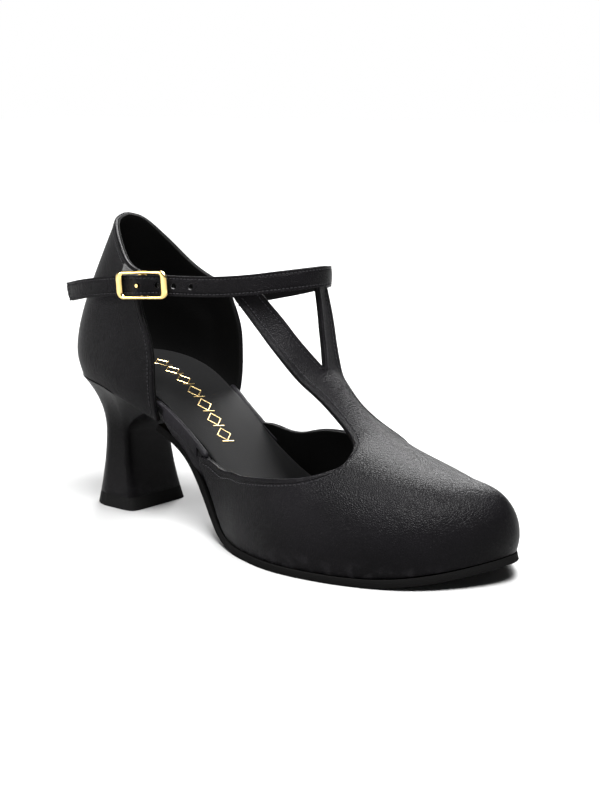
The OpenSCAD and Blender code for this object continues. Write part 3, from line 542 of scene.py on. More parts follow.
lining_leather = matt_finish("lining_leather", (0.001, 0.001, 0.001), (0.003, 0.003, 0.003),
                             0.5, 0.03, 0.6)
sock_leather = matt_finish("sock_leather", (0.0015, 0.0015, 0.0016), (0.004, 0.004, 0.0042), 0.7,
                           0.05, 0.55, sheen=0.05)
sole_leather = matt_finish("sole_leather", (0.0015, 0.0015, 0.0015), (0.005, 0.0048, 0.0048), 0.25,
                           0.12, 0.8, fibres=(1, 2.5, 1))
top_rubber = matt_finish("top_rubber", (0.003, 0.003, 0.003), (0.007, 0.007, 0.007), 0.4, 0.03,
                         0.62)
fibre_board = matt_finish("fibre_board", (0.012, 0.012, 0.013), (0.03, 0.029, 0.03), 0.9, 0.1, 0.7)
stiff_board = matt_finish("stiff_board", (0.34, 0.3, 0.24), (0.5, 0.45, 0.38), 0.6, 0.06, 0.75)
cork_filler = matt_finish("cork_filler", (0.3, 0.2, 0.11), (0.52, 0.4, 0.26), 2.2, 0.2, 0.85)
latex_foam = matt_finish("latex_foam", (0.5, 0.43, 0.31), (0.68, 0.6, 0.46), 0.8, 0.15, 0.9)
heel_plastic = matt_finish("heel_plastic", (0.03, 0.03, 0.032), (0.05, 0.05, 0.052), 1.5, 0.02,
                           0.45)
thread = matt_finish("black_thread", (0.006, 0.006, 0.0065), (0.022, 0.021, 0.024), 0.12, 0.04, 0.5,
                     sheen=0.1, fibres=(3, 1, 3))
print("matt finishes made")

# %% Metals and elastic
def metal_finish(name, pale, deep, gloss, brush):
    """Polished or brushed metal with hair-fine marks and a few dull spots."""
    f = Finish(name)
    hair = f.noise(900, 2, f.place(brush))
    dull = f.noise(190, 4)
    return f.done(Base_Color=f.mix(pale, deep, dull.between(0.35, 0.75) * 0.7),
                  Metallic=1.0, Roughness=gloss + hair * 0.05 + dull.between(0.5, 0.8) * 0.1,
                  Normal=f.bump(hair, 0.004))


buckle_gold = metal_finish("buckle_gold", (0.95, 0.72, 0.30), (0.80, 0.53, 0.18), 0.1, (1, 1, 4))
foil_gold = metal_finish("foil_gold", (0.86, 0.64, 0.30), (0.62, 0.43, 0.17), 0.3, (1, 1, 1))
plain_steel = metal_finish("plain_steel", (0.6, 0.61, 0.62), (0.42, 0.43, 0.45), 0.3, (1, 6, 1))
rivet_brass = metal_finish("rivet_brass", (0.7, 0.52, 0.24), (0.5, 0.35, 0.14), 0.28, (1, 1, 1))


def woven_finish(name, dark, light, rib):
    """Elastic webbing: ribs rib mm apart, crossed by finer threads."""
    f = Finish(name)
    waves = [f.node("TexWave", {"bands_direction": way}, {"Vector": f.place(), "Scale": s})
             for way, s in (("Z", 314 / rib), ("X", 550 / rib))]
    ribs = waves[0] * 0.7 + waves[1] * 0.3
    return f.done(Base_Color=f.mix(dark, light, ribs), Roughness=0.75 + ribs * 0.1,
                  Normal=f.bump(ribs, 0.12), Sheen_Weight=0.2)


elastic_weave = woven_finish("elastic_weave", (0.004, 0.004, 0.004), (0.014, 0.014, 0.015), 0.8)
print(len(bpy.data.materials), "materials")

# %% [markdown]
# ## The vamp and its split T-strap
# The front of the upper is one piece of leather: it covers the toes, its
# toplines sweep down both sides, and its middle grows into a strap that splits
# into two arms behind the ankle strap. One grid can describe all of it. Rows run
# from the toe back, columns climb from the feather edge to the ridge, and past
# the throat the grid parts into the low wings and the high strap.

# %% Ridge, toplines and strap widths
ridge_points = points_of((104, 0, 76), (110, 0, 70.5), (119, 0.5, 61.7), (130, 0.8, 53.5),
                         (144, 1.4, 46.4), (158, 2.1, 41.2), (170, 2.7, 37.8), (178, 3, 36.2))
RIDGE_FIRST, TOE, THROAT = 5, 12, 8.7
WING_END = {-1: 5.58, 1: 5.4}
CLOSED_ROWS, WING_ROWS, STRAP_ROWS, ARM_ROWS = 14, 14, 9, 8
WING_COLS, COLS = 7, 12
NOTCH_ROW = CLOSED_ROWS + STRAP_ROWS
TOP_ROW = NOTCH_ROW + ARM_ROWS
NOTCH_X, FOOT_ANGLE, ARM_W, VAMP_BULGE = 109, 61, 11, 2.4
ARM_BEHIND = 2.05
wing_top = {-1: [(5.58, 3), (6, 13), (6.5, 22), (7, 26), (7.5, 30.7), (8, 36.6), (8.4, 44),
                 (8.7, 55)],
            1: [(5.4, 7), (6, 22), (6.5, 32.5), (7, 36.5), (7.5, 40), (8, 45), (8.4, 50), (8.7, 55)]}
ridge_height = [(104, 76), (109, 71.4), (115, 65.5), (120, 60.9), (125, 56.9), (130, 53.5),
                (138, 49.1), (144, 46.4)]
strap_half = {-1: [(109, 12.6), (115, 11), (121, 10.6), (128, 11.8), (133, 14), (137, 18),
                   (140, 22)],
              1: [(109, 13), (115, 10.4), (121, 9), (128, 10), (134, 12.8), (140, 16.6)]}
strap_drop = {-1: [(109, 4), (115, 2.8), (121, 2.3), (128, 2.2), (134, 3), (140, 5)],
              1: [(109, 4.5), (115, 3), (121, 2.7), (128, 3), (134, 4.2), (140, 6.2)]}
print("T-strap", 2 * height_at(strap_half[-1], 121), "mm wide at its waist")


# %% Points of the closed forepart and the wings
def ridge(k):
    return through(ridge_points, k - RIDGE_FIRST)


def roundness(side, k):
    """The cross-section is fuller on the outer side and at the toe."""
    if side < 0:
        return 0.83
    return lerp(0.83, 1.16, ease(k - 7.9)) - 0.3 * ease((k - 10.6) / 1.4)


def vamp_point(side, k, angle):
    kk, r, p = both_sides(side, k), ridge(k), roundness(side, k)
    e, n, a = feather(kk), feather_out(kk), math.radians(angle)
    across, rise = 1 - max(math.cos(a), 0) ** p, math.sin(a) ** p
    inner = 0 if side < 0 else 0.6 * ease(k - 7.8) * (1 - ease(k - 10.8))
    bulge = (VAMP_BULGE * (1 - inner) * ease((k - 5.6) / 1.5)
             * math.sin(math.pi * (angle / 90) ** 0.7))
    return np.array([lerp(e[0], r[0], across) + n[0] * bulge,
                     lerp(e[1], r[1], across) + n[1] * bulge,
                     lerp(height_at(vamp_line, e[0]), r[2], rise)])


# %% Points of the T-strap and its arms
def strap_foot_point(side, f, w):
    x = lerp(ridge(THROAT)[0], NOTCH_X, f)
    return np.array([x - 1.5 * w * w * f,
                     side * w * height_at(strap_half[side], x) + 1.2 * (1 - f),
                     height_at(ridge_height, x) - height_at(strap_drop[side], x) * w ** 2.2])


def behind(k, rise):
    """A place just inside the ankle strap."""
    return strap_at(k) - strap_out(k) * ARM_BEHIND + np.array([0, 0, rise])


notch = np.array([NOTCH_X, 0, 71.4])
arm_outer = {-1: points_of((107.5, -12.6, 67.4), (97.5, -16.4, 78.3), (86.6, -17.6, 89.4),
                           behind(8, 2)),
             1: points_of((107.5, 13, 66.9), (103.3, 13.9, 81), (100.3, 14, 95),
                          behind(3.5, 1.5))}
arm_inner = {-1: points_of(notch, (100.3, -6.4, 84.2), (92.4, -11.2, 95), behind(6.95, 1)),
             1: points_of(notch, (105.4, 3.2, 83), (102.8, 4.8, 93.5), behind(4.35, 1.5))}


def arm_point(side, f, w):
    o, i = through(arm_outer[side], 3 * f), through(arm_inner[side], 3 * f)
    middle, half = (o + i) / 2, (o - i) / 2
    wide = 1 if f > 0.7 else lerp(1, ARM_W / (2 * np.linalg.norm(half)),
                                  ease(f * 2) * ease((0.7 - f) * 5))
    return middle + half * (2 * w - 1) * wide


def upper_point(side, i, j):
    w = 1 - (j - WING_COLS - 1) / (COLS - WING_COLS - 1)
    if i <= CLOSED_ROWS:
        angle = 55 * j / WING_COLS if j <= WING_COLS else lerp(90, FOOT_ANGLE, w)
        return vamp_point(side, lerp(TOE, THROAT, i / CLOSED_ROWS), angle)
    if j <= WING_COLS:
        k = lerp(THROAT, WING_END[side], clamp((i - CLOSED_ROWS) / WING_ROWS))
        return vamp_point(side, k, height_at(wing_top[side], k) * j / WING_COLS)
    if i <= NOTCH_ROW:
        return strap_foot_point(side, (i - CLOSED_ROWS) / STRAP_ROWS, w)
    return arm_point(side, (i - NOTCH_ROW) / ARM_ROWS, w)


upper = {s: [[upper_point(s, i, j) for j in range(COLS + 1)] for i in range(TOP_ROW + 1)]
         for s in (-1, 1)}
print("toe point", upper[-1][0][0].round(1), "arm end", upper[-1][TOP_ROW][8].round(1))


# %% Which cells the leather has, and its outer direction at each point
def vamp_cell(i, j):
    if not (i >= 0 and 0 <= j < COLS):
        return False
    if j < WING_COLS:
        return i < CLOSED_ROWS + WING_ROWS
    return i < (CLOSED_ROWS if j == WING_COLS else TOP_ROW)


def beside(i, j):
    """Whether column j has a cell before or after row i."""
    return vamp_cell(i, j) or vamp_cell(i - 1, j)


def shared(i, j):
    """The toe's middle line and the ridge belong to both sides."""
    return i == 0 or (j == COLS and i <= NOTCH_ROW)


def upper_normal(s, i, j):
    g = upper[s]
    if shared(i, j):
        top, ai, aj = j == COLS, max(i, 1), min(j, COLS - 1)
        after = g[min(i + 1, NOTCH_ROW)][j] if top else g[0][j + 1]
        before = g[i - 1][j] if top and i > 0 else g[0][max(j - 1, 0)]
        return unit(np.cross(upper[1][ai][aj] - upper[-1][ai][aj], after - before))
    left, right = (j - 1 if beside(i, j - 1) else j), (j + 1 if beside(i, j) else j)
    below = min(i + 1, CLOSED_ROWS + WING_ROWS if j <= WING_COLS else TOP_ROW)
    return unit(np.cross(g[below][j] - g[i - 1][j], g[i][min(right, COLS)] - g[i][left])) * s


upper_out = {s: [[upper_normal(s, i, j) for j in range(COLS + 1)] for i in range(TOP_ROW + 1)]
             for s in (-1, 1)}
print("ridge looks", upper_out[-1][5][COLS].round(2))


# %% The vamp's leather, and its linings below it
def vamp_layer(name, depth, thickness, keep, **more):
    """Part of the vamp, depth(i) below its outer face."""
    index, verts, outward, cells = {}, [], [], []

    def number(s, i, j):
        key = (-1 if shared(i, j) else s, i, j)
        if key not in index:
            index[key] = len(verts)
            verts.append(upper[key[0]][i][j] - depth(i) * upper_out[key[0]][i][j])
            outward.append(upper_out[key[0]][i][j])
        return index[key]

    for s in (-1, 1):
        for i in range(TOP_ROW):
            for j in range(COLS):
                if vamp_cell(i, j) and keep(i, j):
                    cells.append([number(s, i, j), number(s, i, j + 1),
                                  number(s, i + 1, j + 1), number(s, i + 1, j)])
    return soft_sheet(name, verts, cells, outward, thickness, **more)


def vamp_lining_depth(i):
    """The lining lies deeper where the toe puff is between it and the leather."""
    return under_leather + (stiffener_t + layer_gap) * (1 - ease((i - 7) / 2))


vamp, vamp_skin = vamp_layer("vamp", lambda i: 0, leather_t, lambda i, j: True)
vamp_lining, _ = vamp_layer("vamp_lining_piece", vamp_lining_depth, lining_t,
                            lambda i, j: j < WING_COLS or i < CLOSED_ROWS, edge_round=0.25)
t_lining, _ = vamp_layer("t_strap_lining_piece", lambda i: under_leather, lining_t,
                         lambda i, j: j > WING_COLS and i > CLOSED_ROWS, edge_round=0.25)
print("vamp:", triangles_of(vamp), "triangles")


# %% Handing a piece to the frame
def hand_over(obj, body, slot, material, *nodes):
    """Gives a finished piece its material and its body, and hides its CAD nodes; slot is not used.
    """
    obj.data.materials.clear()
    obj.data.materials.append(material)
    if body:
        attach(obj, body)
    if nodes:
        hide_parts(*nodes)
    return obj


hand_over(vamp, "shoe", "upper_leather", upper_leather, "vamp_outer")
hand_over(vamp_lining, "shoe", "lining_leather", lining_leather, "vamp_lining")
hand_over(t_lining, "shoe", "lining_leather", lining_leather, "t_strap_lining")
print("vamp handed over")

# %% [markdown]
# ## The quarters
# Two pieces of leather wrap the heel and meet in a back seam that climbs to a
# peak. They are one surface drawn from the feather edge to the topline, cut in
# two at the back, with a lining of the same shape a leather's thickness inside.

# %% The quarters' surface
outer_top = points_of((-3, 0, 129), (-0.5, -8.5, 127), (8, -16.5, 121.5), (21, -24, 111.5),
                      (32.5, -27.2, 108), (48, -29, 106.5))
inner_top = points_of((-3, 0, 129), (-0.5, 8.5, 126.5), (6, 16.5, 117.5), (17, 23, 105.5),
                      (30, 25.8, 98.5), (46, 27, 93))
QUARTER_ROWS, QUARTER_COLS, CUP_SWELL = 16, 9, 8.3
COUNTER_ROWS, COUNTER_COLS = 12, 6
QUARTER_END = 4 + (40 - 28) / 22


def front_edge(side, v):
    """Where a quarter ends; its front edge leans back towards the top."""
    lean = 0.6 * ease((v - 0.45) / 0.45) if side > 0 else 0.28 * ease((v - 0.65) / 0.35)
    return side * (QUARTER_END - lean)


def quarter_point(c, v):
    """c counts round the back from the seam, above 0 on the outer side."""
    k = c if c >= 0 else ROUND + c
    e, n, top = feather(k), feather_out(k), through(outer_top if c >= 0 else inner_top, abs(c))
    swell = lerp(CUP_SWELL, 3.2, ease(abs(c) / 3)) * math.sin(math.pi * v ** 0.6)
    return np.array([lerp(e[0], top[0], v) + n[0] * swell, lerp(e[1], top[1], v) + n[1] * swell,
                     lerp(height_at(quarter_line, e[0]), top[2], v)])


quarter = np.array([[quarter_point(abs(f) * front_edge(-1 if f < 0 else 1, v), v)
                     for v in np.linspace(0, 1, QUARTER_COLS + 1)]
                    for f in np.linspace(-1, 1, 2 * QUARTER_ROWS + 1)])
quarter_out = grid_normals(quarter)
if quarter_out[QUARTER_ROWS][3][0] > 0:
    quarter_out = -quarter_out
print("back of the cup looks", quarter_out[QUARTER_ROWS][4].round(2))


# %% Outer leather of both quarters, and their lining
def quarter_layer(name, first, last_one, depth, thickness, **more):
    """Rows first to last_one of the quarters, depth below their outer face."""
    points = quarter[first:last_one + 1] - quarter_out[first:last_one + 1] * depth
    looks = quarter_out[first:last_one + 1]
    return soft_sheet(name, points.reshape(-1, 3), grid_cells(*points.shape[:2]),
                      looks.reshape(-1, 3), thickness, **more)


quarter_outer, outer_skin = quarter_layer("quarter_outer_leather", QUARTER_ROWS,
                                          2 * QUARTER_ROWS, 0, leather_t, edge_round=0.25)
quarter_inner, inner_skin = quarter_layer("quarter_inner_leather", 0, QUARTER_ROWS, 0,
                                          leather_t, edge_round=0.25)
lining_deep = np.full((2 * QUARTER_ROWS + 1, QUARTER_COLS + 1, 1), under_leather)
counter_rows = slice(QUARTER_ROWS - COUNTER_ROWS, QUARTER_ROWS + COUNTER_ROWS + 1)
lining_deep[counter_rows, :COUNTER_COLS] += stiffener_t + layer_gap
quarter_lining, _ = quarter_layer("quarter_lining_piece", 0, 2 * QUARTER_ROWS, lining_deep,
                                  lining_t, edge_round=0.25)
hand_over(quarter_outer, "shoe", "upper_leather", upper_leather, "quarter_outer_side")
hand_over(quarter_inner, "shoe", "upper_leather", upper_leather, "quarter_inner_side")
hand_over(quarter_lining, "shoe", "lining_leather", lining_leather, "quarter_lining")
print("quarters:", triangles_of(quarter_outer) + triangles_of(quarter_inner), "triangles")

# %% [markdown]
# ## Sock, sole and the edges between them
# The foot stands on a soft sock that follows the arch from the high heel seat to
# the flat forepart. Below it are the thin outsole and, at the waist, leather
# drawn over the sides. All of them are strips across the same feather edge, set
# in or out from it by a few millimetres.

# %% Strips across the shoe's bottom
def inset(x):
    """How far the insole stays inside the feather edge."""
    full = leather_t + stiffener_t + lining_t + 2 * layer_gap + 0.35
    return full - (full - 1.1) * (ease((x - 41) / 5) - ease((x - 55) / 5))


def waist_tuck(x):
    """The sole is narrower than the upper at the waist."""
    return lerp(0.74, 1, ease((x - 42) / 36))


def bottom_grid(k0, k1, rows, cols, setback, tuck, heights, drop=0.0):
    """Rows across the bottom, from the outer to the inner side."""
    grid = []
    for k in np.linspace(k0, k1, rows + 1):
        ends = []
        for kk in (k, ROUND - k):
            e, n = feather(kk), feather_out(kk)
            d = setback(e[0])
            ends.append(np.array([e[0] - n[0] * d, (e[1] - n[1] * d) * tuck(e[0])]))
        row = [lerp(ends[0], ends[1], f) for f in np.linspace(0, 1, cols + 1)]
        grid.append([(p[0], p[1], height_at(heights, p[0]) - drop) for p in row])
    return np.array(grid)


print("strips ready")

# %% The padded sock and the foam under it
SOCK_BACK, SOCK_FRONT, SOCK_ROWS, SOCK_COLS = 0.35, 11.9, 40, 12
SOCK_RIM_DROP, FOAM_BELOW = 0.25, 1.12
sock_grid = bottom_grid(SOCK_BACK, SOCK_FRONT, SOCK_ROWS, SOCK_COLS, lambda x: inset(x) + 0.6,
                        lambda x: 1, sock_line)
for i, row in enumerate(sock_grid):
    for j, p in enumerate(row):
        rim = min(min(i, SOCK_ROWS - i) / 2.2, min(j, SOCK_COLS - j) / 2.0, 1)
        p[2] += SOCK_RIM_DROP * ease(rim) - SOCK_RIM_DROP
sock, sock_skin = soft_grid("sock_lining_piece", sock_grid, 0.95, levels=1, edge_round=0.3)
foam_grid = bottom_grid(SOCK_BACK, SOCK_FRONT, SOCK_ROWS, 8, lambda x: inset(x) + 2.2,
                        lambda x: 1, sock_line, FOAM_BELOW)
foam, _ = soft_grid("sock_foam_pad", foam_grid, 1.7, levels=1, edge_round=0.3)
hand_over(sock, "shoe", "sock_leather", sock_leather, "sock_lining")
hand_over(foam, "shoe", "foam", latex_foam, "sock_foam")
print("sock:", triangles_of(sock), "triangles")

# %% Outsole
sole, _ = soft_grid("outsole_piece", bottom_grid(
    4.24, 11.96, 46, 8, lambda x: -0.8 * ease((x - 60) / 20), waist_tuck, under_line), 3.0,
    flip=True, levels=1, edge_round=0.45)
hand_over(sole, "shoe", "sole_leather", sole_leather, "outsole")
print("outsole:", triangles_of(sole), "triangles")


# %% Narrow leather edges at the waist, and the elastic behind the buckle
def rounded_copy(name, node, edge_round, crisp=45):
    """A welded copy of a CAD part with its edges rounded off."""
    obj = bpy.data.objects.new(name, frame["nodes"][node].data.copy())
    scene_objects.link(obj)
    mesh = bmesh.new()
    mesh.from_mesh(obj.data)
    bmesh.ops.remove_doubles(mesh, verts=mesh.verts, dist=0.00001)
    bmesh.ops.join_triangles(mesh, faces=mesh.faces, angle_face_threshold=0.3,
                             angle_shape_threshold=1.2)
    mesh.to_mesh(obj.data)
    mesh.free()
    add_modifier(obj, "BEVEL", width=edge_round * MM, segments=2, limit_method="ANGLE",
                 angle_limit=math.radians(crisp))
    return shade_smooth(bake_modifiers(obj), 60)


waist_sides = rounded_copy("waist_side_leather", "waist_cover", 0.15)
insole_edge = rounded_copy("insole_edge_leather", "insole_wrap", 0.2)
elastic = rounded_copy("elastic_strip", "elastic_loop", 0.15)
hand_over(waist_sides, "shoe", "edge_leather", edge_leather, "waist_cover")
hand_over(insole_edge, "shoe", "edge_leather", edge_leather, "insole_wrap")
hand_over(elastic, "shoe", "elastic", elastic_weave, "elastic_loop")
print("edges and elastic made")


# %% The rolled edge of the insole at the waist
def round_bar(name, path, wide, high, sides=12):
    """A closed bar of oval section along a path that stays nearly level."""
    verts = []
    for i, p in enumerate(path):
        along = unit(path[min(i + 1, len(path) - 1)] - path[max(i - 1, 0)])
        side = unit(np.cross(along, (0, 0, 1)))
        over = np.cross(side, along)
        shrink = 0.55 if i in (0, len(path) - 1) else 1
        verts += [p + (side * math.cos(a) * wide + over * math.sin(a) * high) * shrink
                  for a in np.linspace(0, 2 * math.pi, sides, endpoint=False)]
    return shade_smooth(face_outwards(new_object(name, verts, tube_faces(len(path), sides))))


for side, word in SIDES:
    path = []
    for k in np.linspace(4.5, 5.75, 26):
        e, n = feather(both_sides(side, k)), feather_out(both_sides(side, k))
        path.append(np.array([*(e - n * 1.25), height_at(sock_line, e[0]) - 1.1]))
    roll = round_bar("insole_roll_" + word, path, 1.3, 1.15)
    hand_over(roll, "shoe", "edge_leather", edge_leather)
print("insole rolls made")

# %% [markdown]
# ## The flared heel
# The heel is a loft. At the ground it is a half-moon with a straight breast, it
# narrows to a neck, and then it swells to meet the seat of the shoe. Each ring
# is a rounded half-moon whose two corners stay fairly sharp, because leather is
# pulled tight round the corners of the breast.

# %% Rings up the heel
SIDE_STEPS, BREAST_STEPS, HEEL_TOP = 48, 18, 4.2
RING = SIDE_STEPS + BREAST_STEPS
NECK_Z, NECK_L, NECK_W, BASE_L, BASE_W, TOP_PIECE = 33, 19.5, 28.5, 31, 35, 5.5


def half_moon(m, rear, front, width):
    """One point of a ring that is round behind and nearly square in front."""
    a = (lerp(45, 315, m / SIDE_STEPS) if m <= SIDE_STEPS
         else lerp(315, 405, (m - SIDE_STEPS) / BREAST_STEPS))
    c, s = math.cos(math.radians(a)), math.sin(math.radians(a))
    power = 2 / 9 if c > 0 else 1
    return np.array([(rear + front) / 2 + (front - rear) / 2 * math.copysign(abs(c) ** power, c),
                     width / 2 * math.copysign(abs(s) ** power, s)])


def seat_point(m):
    """The same point where the heel meets the shoe."""
    if m <= SIDE_STEPS:
        k = lerp(-HEEL_TOP, HEEL_TOP, m / SIDE_STEPS) % ROUND
        q = feather(k)
    else:
        q = lerp(feather(HEEL_TOP), feather(ROUND - HEEL_TOP), (m - SIDE_STEPS) / BREAST_STEPS)
    return np.array([q[0], q[1] * lerp(1, 0.8, ease((q[0] - 12) / 20)),
                     height_at(quarter_line, q[0]) - 0.4])


def flare(z):
    return clamp(1 - z / NECK_Z) ** 1.7


heel_grid = []
for z in np.linspace(TOP_PIECE + layer_gap, NECK_Z, 14):
    f = flare(z)
    half, wide, mid = lerp(NECK_L, BASE_L, f) / 2, lerp(NECK_W, BASE_W, f), lerp(-0.2, 0, f)
    heel_grid.append([(*half_moon(m, mid - half, mid + half, wide), z) for m in range(RING)])
for f in np.linspace(0, 1, 22)[1:]:
    row = []
    for m in range(RING):
        p, t = half_moon(m, -0.2 - NECK_L / 2, -0.2 + NECK_L / 2, NECK_W), seat_point(m)
        xy = lerp(p, t[:2], f ** 2.1)
        row.append((xy[0], xy[1], lerp(NECK_Z, t[2], f)))
    heel_grid.append(row)
heel_grid = np.array(heel_grid)
away = heel_grid - heel_grid.mean(axis=1, keepdims=True)
heel, _ = soft_sheet("heel_cover_leather", heel_grid.reshape(-1, 3),
                     grid_cells(*heel_grid.shape[:2], wrap=True), away.reshape(-1, 3), 0.9,
                     levels=0, edge_round=0.2)
hand_over(heel, "shoe", "heel_leather", heel_leather, "heel_cover")
print("heel cover:", triangles_of(heel), "triangles")

# %% [markdown]
# ## The ankle strap
# The strap is one narrow band of leather over lining. In life it is a single
# piece that bends, and here it is made in two long parts: the first runs from
# the inner quarter round to the buckle, the second from under the buckle's bar
# to the slanted tip. Their meeting place is hidden by the bar. The punched holes
# are modelled in the grid, four cells round each one, so that Subdivision
# Surface turns them into neat circles.

# %% The band's grid
STRAP_W, STRAP_T, STRAP_LINING_T = 8.2, 1.1, 0.8
HINGE_K, BUCKLE_K, TIP_K, TAIL_K, CUT_K = 8.1, 11, 12.14, 15.98, 9.95
HOLE_PITCH, HOLE_D, K_PER_MM = 7.6, 2.4, 1 / 11.1
STITCH_LINE, TIP_SLANT = 3.0, 4.2
BUCKLE_LEN, END_BAR, SIDE_BAR, BUCKLE_T, BAR_D = 26.5, 3.2, 1.4, 1.6, 1.1
half_window = BUCKLE_LEN / 2 - END_BAR
frame_in = STRAP_T + 0.35
bar_mid = frame_in + BUCKLE_T / 2
arch_height = bar_mid + BAR_D / 2 + 0.15 + STRAP_LINING_T + layer_gap
buckle_mid = strap_at(BUCKLE_K)


def arch(k):
    """The strap rises over the buckle's middle bar."""
    s = np.linalg.norm(strap_at(k) - buckle_mid) / (half_window - 0.6)
    return 0 if s >= 1 else arch_height * math.cos(math.pi / 2 * s) ** 2


hole_step = HOLE_PITCH * K_PER_MM / 4
hole_ks = [BUCKLE_K - i * HOLE_PITCH * K_PER_MM for i in range(4)]
half_strap = (1.9, 2.4, STITCH_LINE, 3.6, STRAP_W / 2)
across_strap = np.array([-z for z in half_strap[::-1]] + [0.0] + list(half_strap))


def band_point(k, across, out):
    """A point of the band, out from its middle line."""
    crown = 0.25 * (1 - (across / (STRAP_W / 2)) ** 2) - (0.3 if abs(across) == STITCH_LINE else 0)
    return (strap_at(k) + strap_out(k) * (out + arch(k) + (crown if out > 0 else 0))
            + np.array([0, 0, across]))


def band(name, k0, k1, out, thickness, outside=True, slant=0.0, holes=True):
    """A strip of the strap from k0 to k1, with the punched holes that lie on it."""
    first = math.ceil((k0 - BUCKLE_K) / hole_step + 0.3)
    final = math.floor((k1 - BUCKLE_K) / hole_step - 0.3)
    ks = [k0] + [BUCKLE_K + i * hole_step for i in range(first, final + 1)] + [k1]
    verts, outward = [], []
    for k in ks:
        n = strap_out(k) * (1 if outside else -1)
        for z in across_strap:
            back = slant * (STRAP_W / 2 - z) / STRAP_W * clamp((k - k1 + 1.2) / 1.2)
            verts.append(band_point(k, z, out) - strap_along(k) * back)
            outward.append(n)
    wide = len(across_strap)
    cells = grid_cells(len(ks), wide)
    for hole in hole_ks if holes else []:
        found = [i for i, k in enumerate(ks) if abs(k - hole) < 1e-6]
        if not found or not 0 < found[0] < len(ks) - 1:
            continue
        middle = found[0] * wide + wide // 2
        cells = [c for c in cells if middle not in c]
        round_it = [middle + d for d in (-wide - 1, -wide, -wide + 1, 1, wide + 1, wide,
                                         wide - 1, -1)]
        ring = []
        for v in round_it:
            ray = np.asarray(verts[v]) - verts[middle]
            ring.append(len(verts))
            verts.append(verts[middle] + unit(ray) * HOLE_D / 2 * 1.12)
            outward.append(outward[middle])
        cells += [(round_it[a], round_it[(a + 1) % 8], ring[(a + 1) % 8], ring[a])
                  for a in range(8)]
    return soft_sheet(name, verts, cells, outward, thickness, levels=2, edge_round=0.3)


def strap_parts(name, k0, k1, slant=0.0):
    """Leather and lining of one part of the strap."""
    leather, skin = band(name, k0, k1, STRAP_T, STRAP_T - 0.03, slant=slant)
    lining, _ = band(name + "_lining_piece", k0, k1, -STRAP_LINING_T, STRAP_LINING_T - 0.03,
                     outside=False, slant=slant)
    return leather, lining, skin


strap_main, main_lining, main_skin = strap_parts("ankle_strap_leather", 0, CUT_K)
strap_tail, tail_lining, tail_skin = strap_parts("strap_tail", CUT_K, TAIL_K, TIP_SLANT)
print("strap:", triangles_of(strap_main) + triangles_of(strap_tail), "triangles")


# %% Hinge places on the strap, and the strap parts' finishes
def bend_of(k, half, direction=None):
    """Start and end points, in metres, of a bend across the hinge at k."""
    d = unit(np.array(direction)) if direction else unit(strap_along(k) * (1, 1, 0))
    at = strap_at(k)
    return tuple((at - d * half) * MM), tuple((at + d * half) * MM)


swing_bend = bend_of(HINGE_K, 2.6, (-0.3, -0.95, 0))
tip_bend = bend_of(TIP_K, 4.0)


def bend_piece(obj, bodies, bend, slot, material, *nodes):
    hand_over(obj, None, slot, material, *nodes)
    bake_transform(obj)


swing, lift = ("shoe", "free_strap"), ("free_strap", "strap_tip")
bend_piece(strap_main, swing, swing_bend, "strap_leather", strap_leather, "ankle_strap",
           "free_strap")
bend_piece(main_lining, swing, swing_bend, "lining_leather", lining_leather,
           "ankle_strap_lining", "free_strap_lining")
bend_piece(strap_tail, lift, tip_bend, "strap_leather", strap_leather, "strap_tip")
bend_piece(tail_lining, lift, tip_bend, "lining_leather", lining_leather, "strap_tip_lining")
print("strap parts bend at k =", HINGE_K, "and", TIP_K)

# %% [markdown]
# ## The gold buckle
# The buckle is a rounded rectangle of domed bars, wide at its ends and thin
# along its sides. Each point of the outer outline has a partner on the window's
# outline, and an oval section is swept through every pair.

# %% Domed buckle frame
def rounded_outline(length, height, radius, corner_steps=8, side_steps=6):
    """Points round a rectangle with round corners, counter-clockwise."""
    points = []
    corners = [(1, 1, 0), (-1, 1, 90), (-1, -1, 180), (1, -1, 270)]
    for sx, sy, start in corners:
        for s in range(corner_steps + 1):
            a = math.radians(start + 90 * s / corner_steps)
            points.append((sx * (length / 2 - radius) + radius * math.cos(a),
                           sy * (height / 2 - radius) + radius * math.sin(a)))
    outline = []
    for i, p in enumerate(points):
        outline.append(p)
        if i % (corner_steps + 1) == corner_steps:
            q = points[(i + 1) % len(points)]
            outline += [(lerp(p[0], q[0], s / side_steps), lerp(p[1], q[1], s / side_steps))
                        for s in range(1, side_steps)]
    return outline


buckle_h = STRAP_W + 2 * 0.3 + 2 * SIDE_BAR
toward = -strap_along(BUCKLE_K)
outwards = strap_out(BUCKLE_K)
upwards = unit(np.cross(toward, -outwards)) * (1 if np.cross(toward, -outwards)[2] > 0 else -1)


def at_buckle(x, out, z):
    return buckle_mid + toward * x + outwards * out + upwards * z


outer_line = rounded_outline(BUCKLE_LEN, buckle_h, 3.3)
window_line = rounded_outline(2 * half_window, buckle_h - 2 * SIDE_BAR, 1.3)
SECTION = 14
frame_verts = []
for o, w in zip(outer_line, window_line):
    for s in range(SECTION):
        a = 2 * math.pi * s / SECTION
        share = (1 - math.cos(a)) / 2
        out = math.copysign(abs(math.sin(a)) ** 0.8, math.sin(a)) * BUCKLE_T / 2
        frame_verts.append(at_buckle(lerp(o[0], w[0], share), bar_mid + out,
                                     lerp(o[1], w[1], share)))
buckle = face_outwards(new_object("buckle_frame_gold", frame_verts,
                                  tube_faces(len(outer_line), SECTION, closed=True)))
hand_over(shade_smooth(buckle), "free_strap", "buckle_gold", buckle_gold, "buckle_frame")
print("buckle frame:", triangles_of(buckle), "triangles")

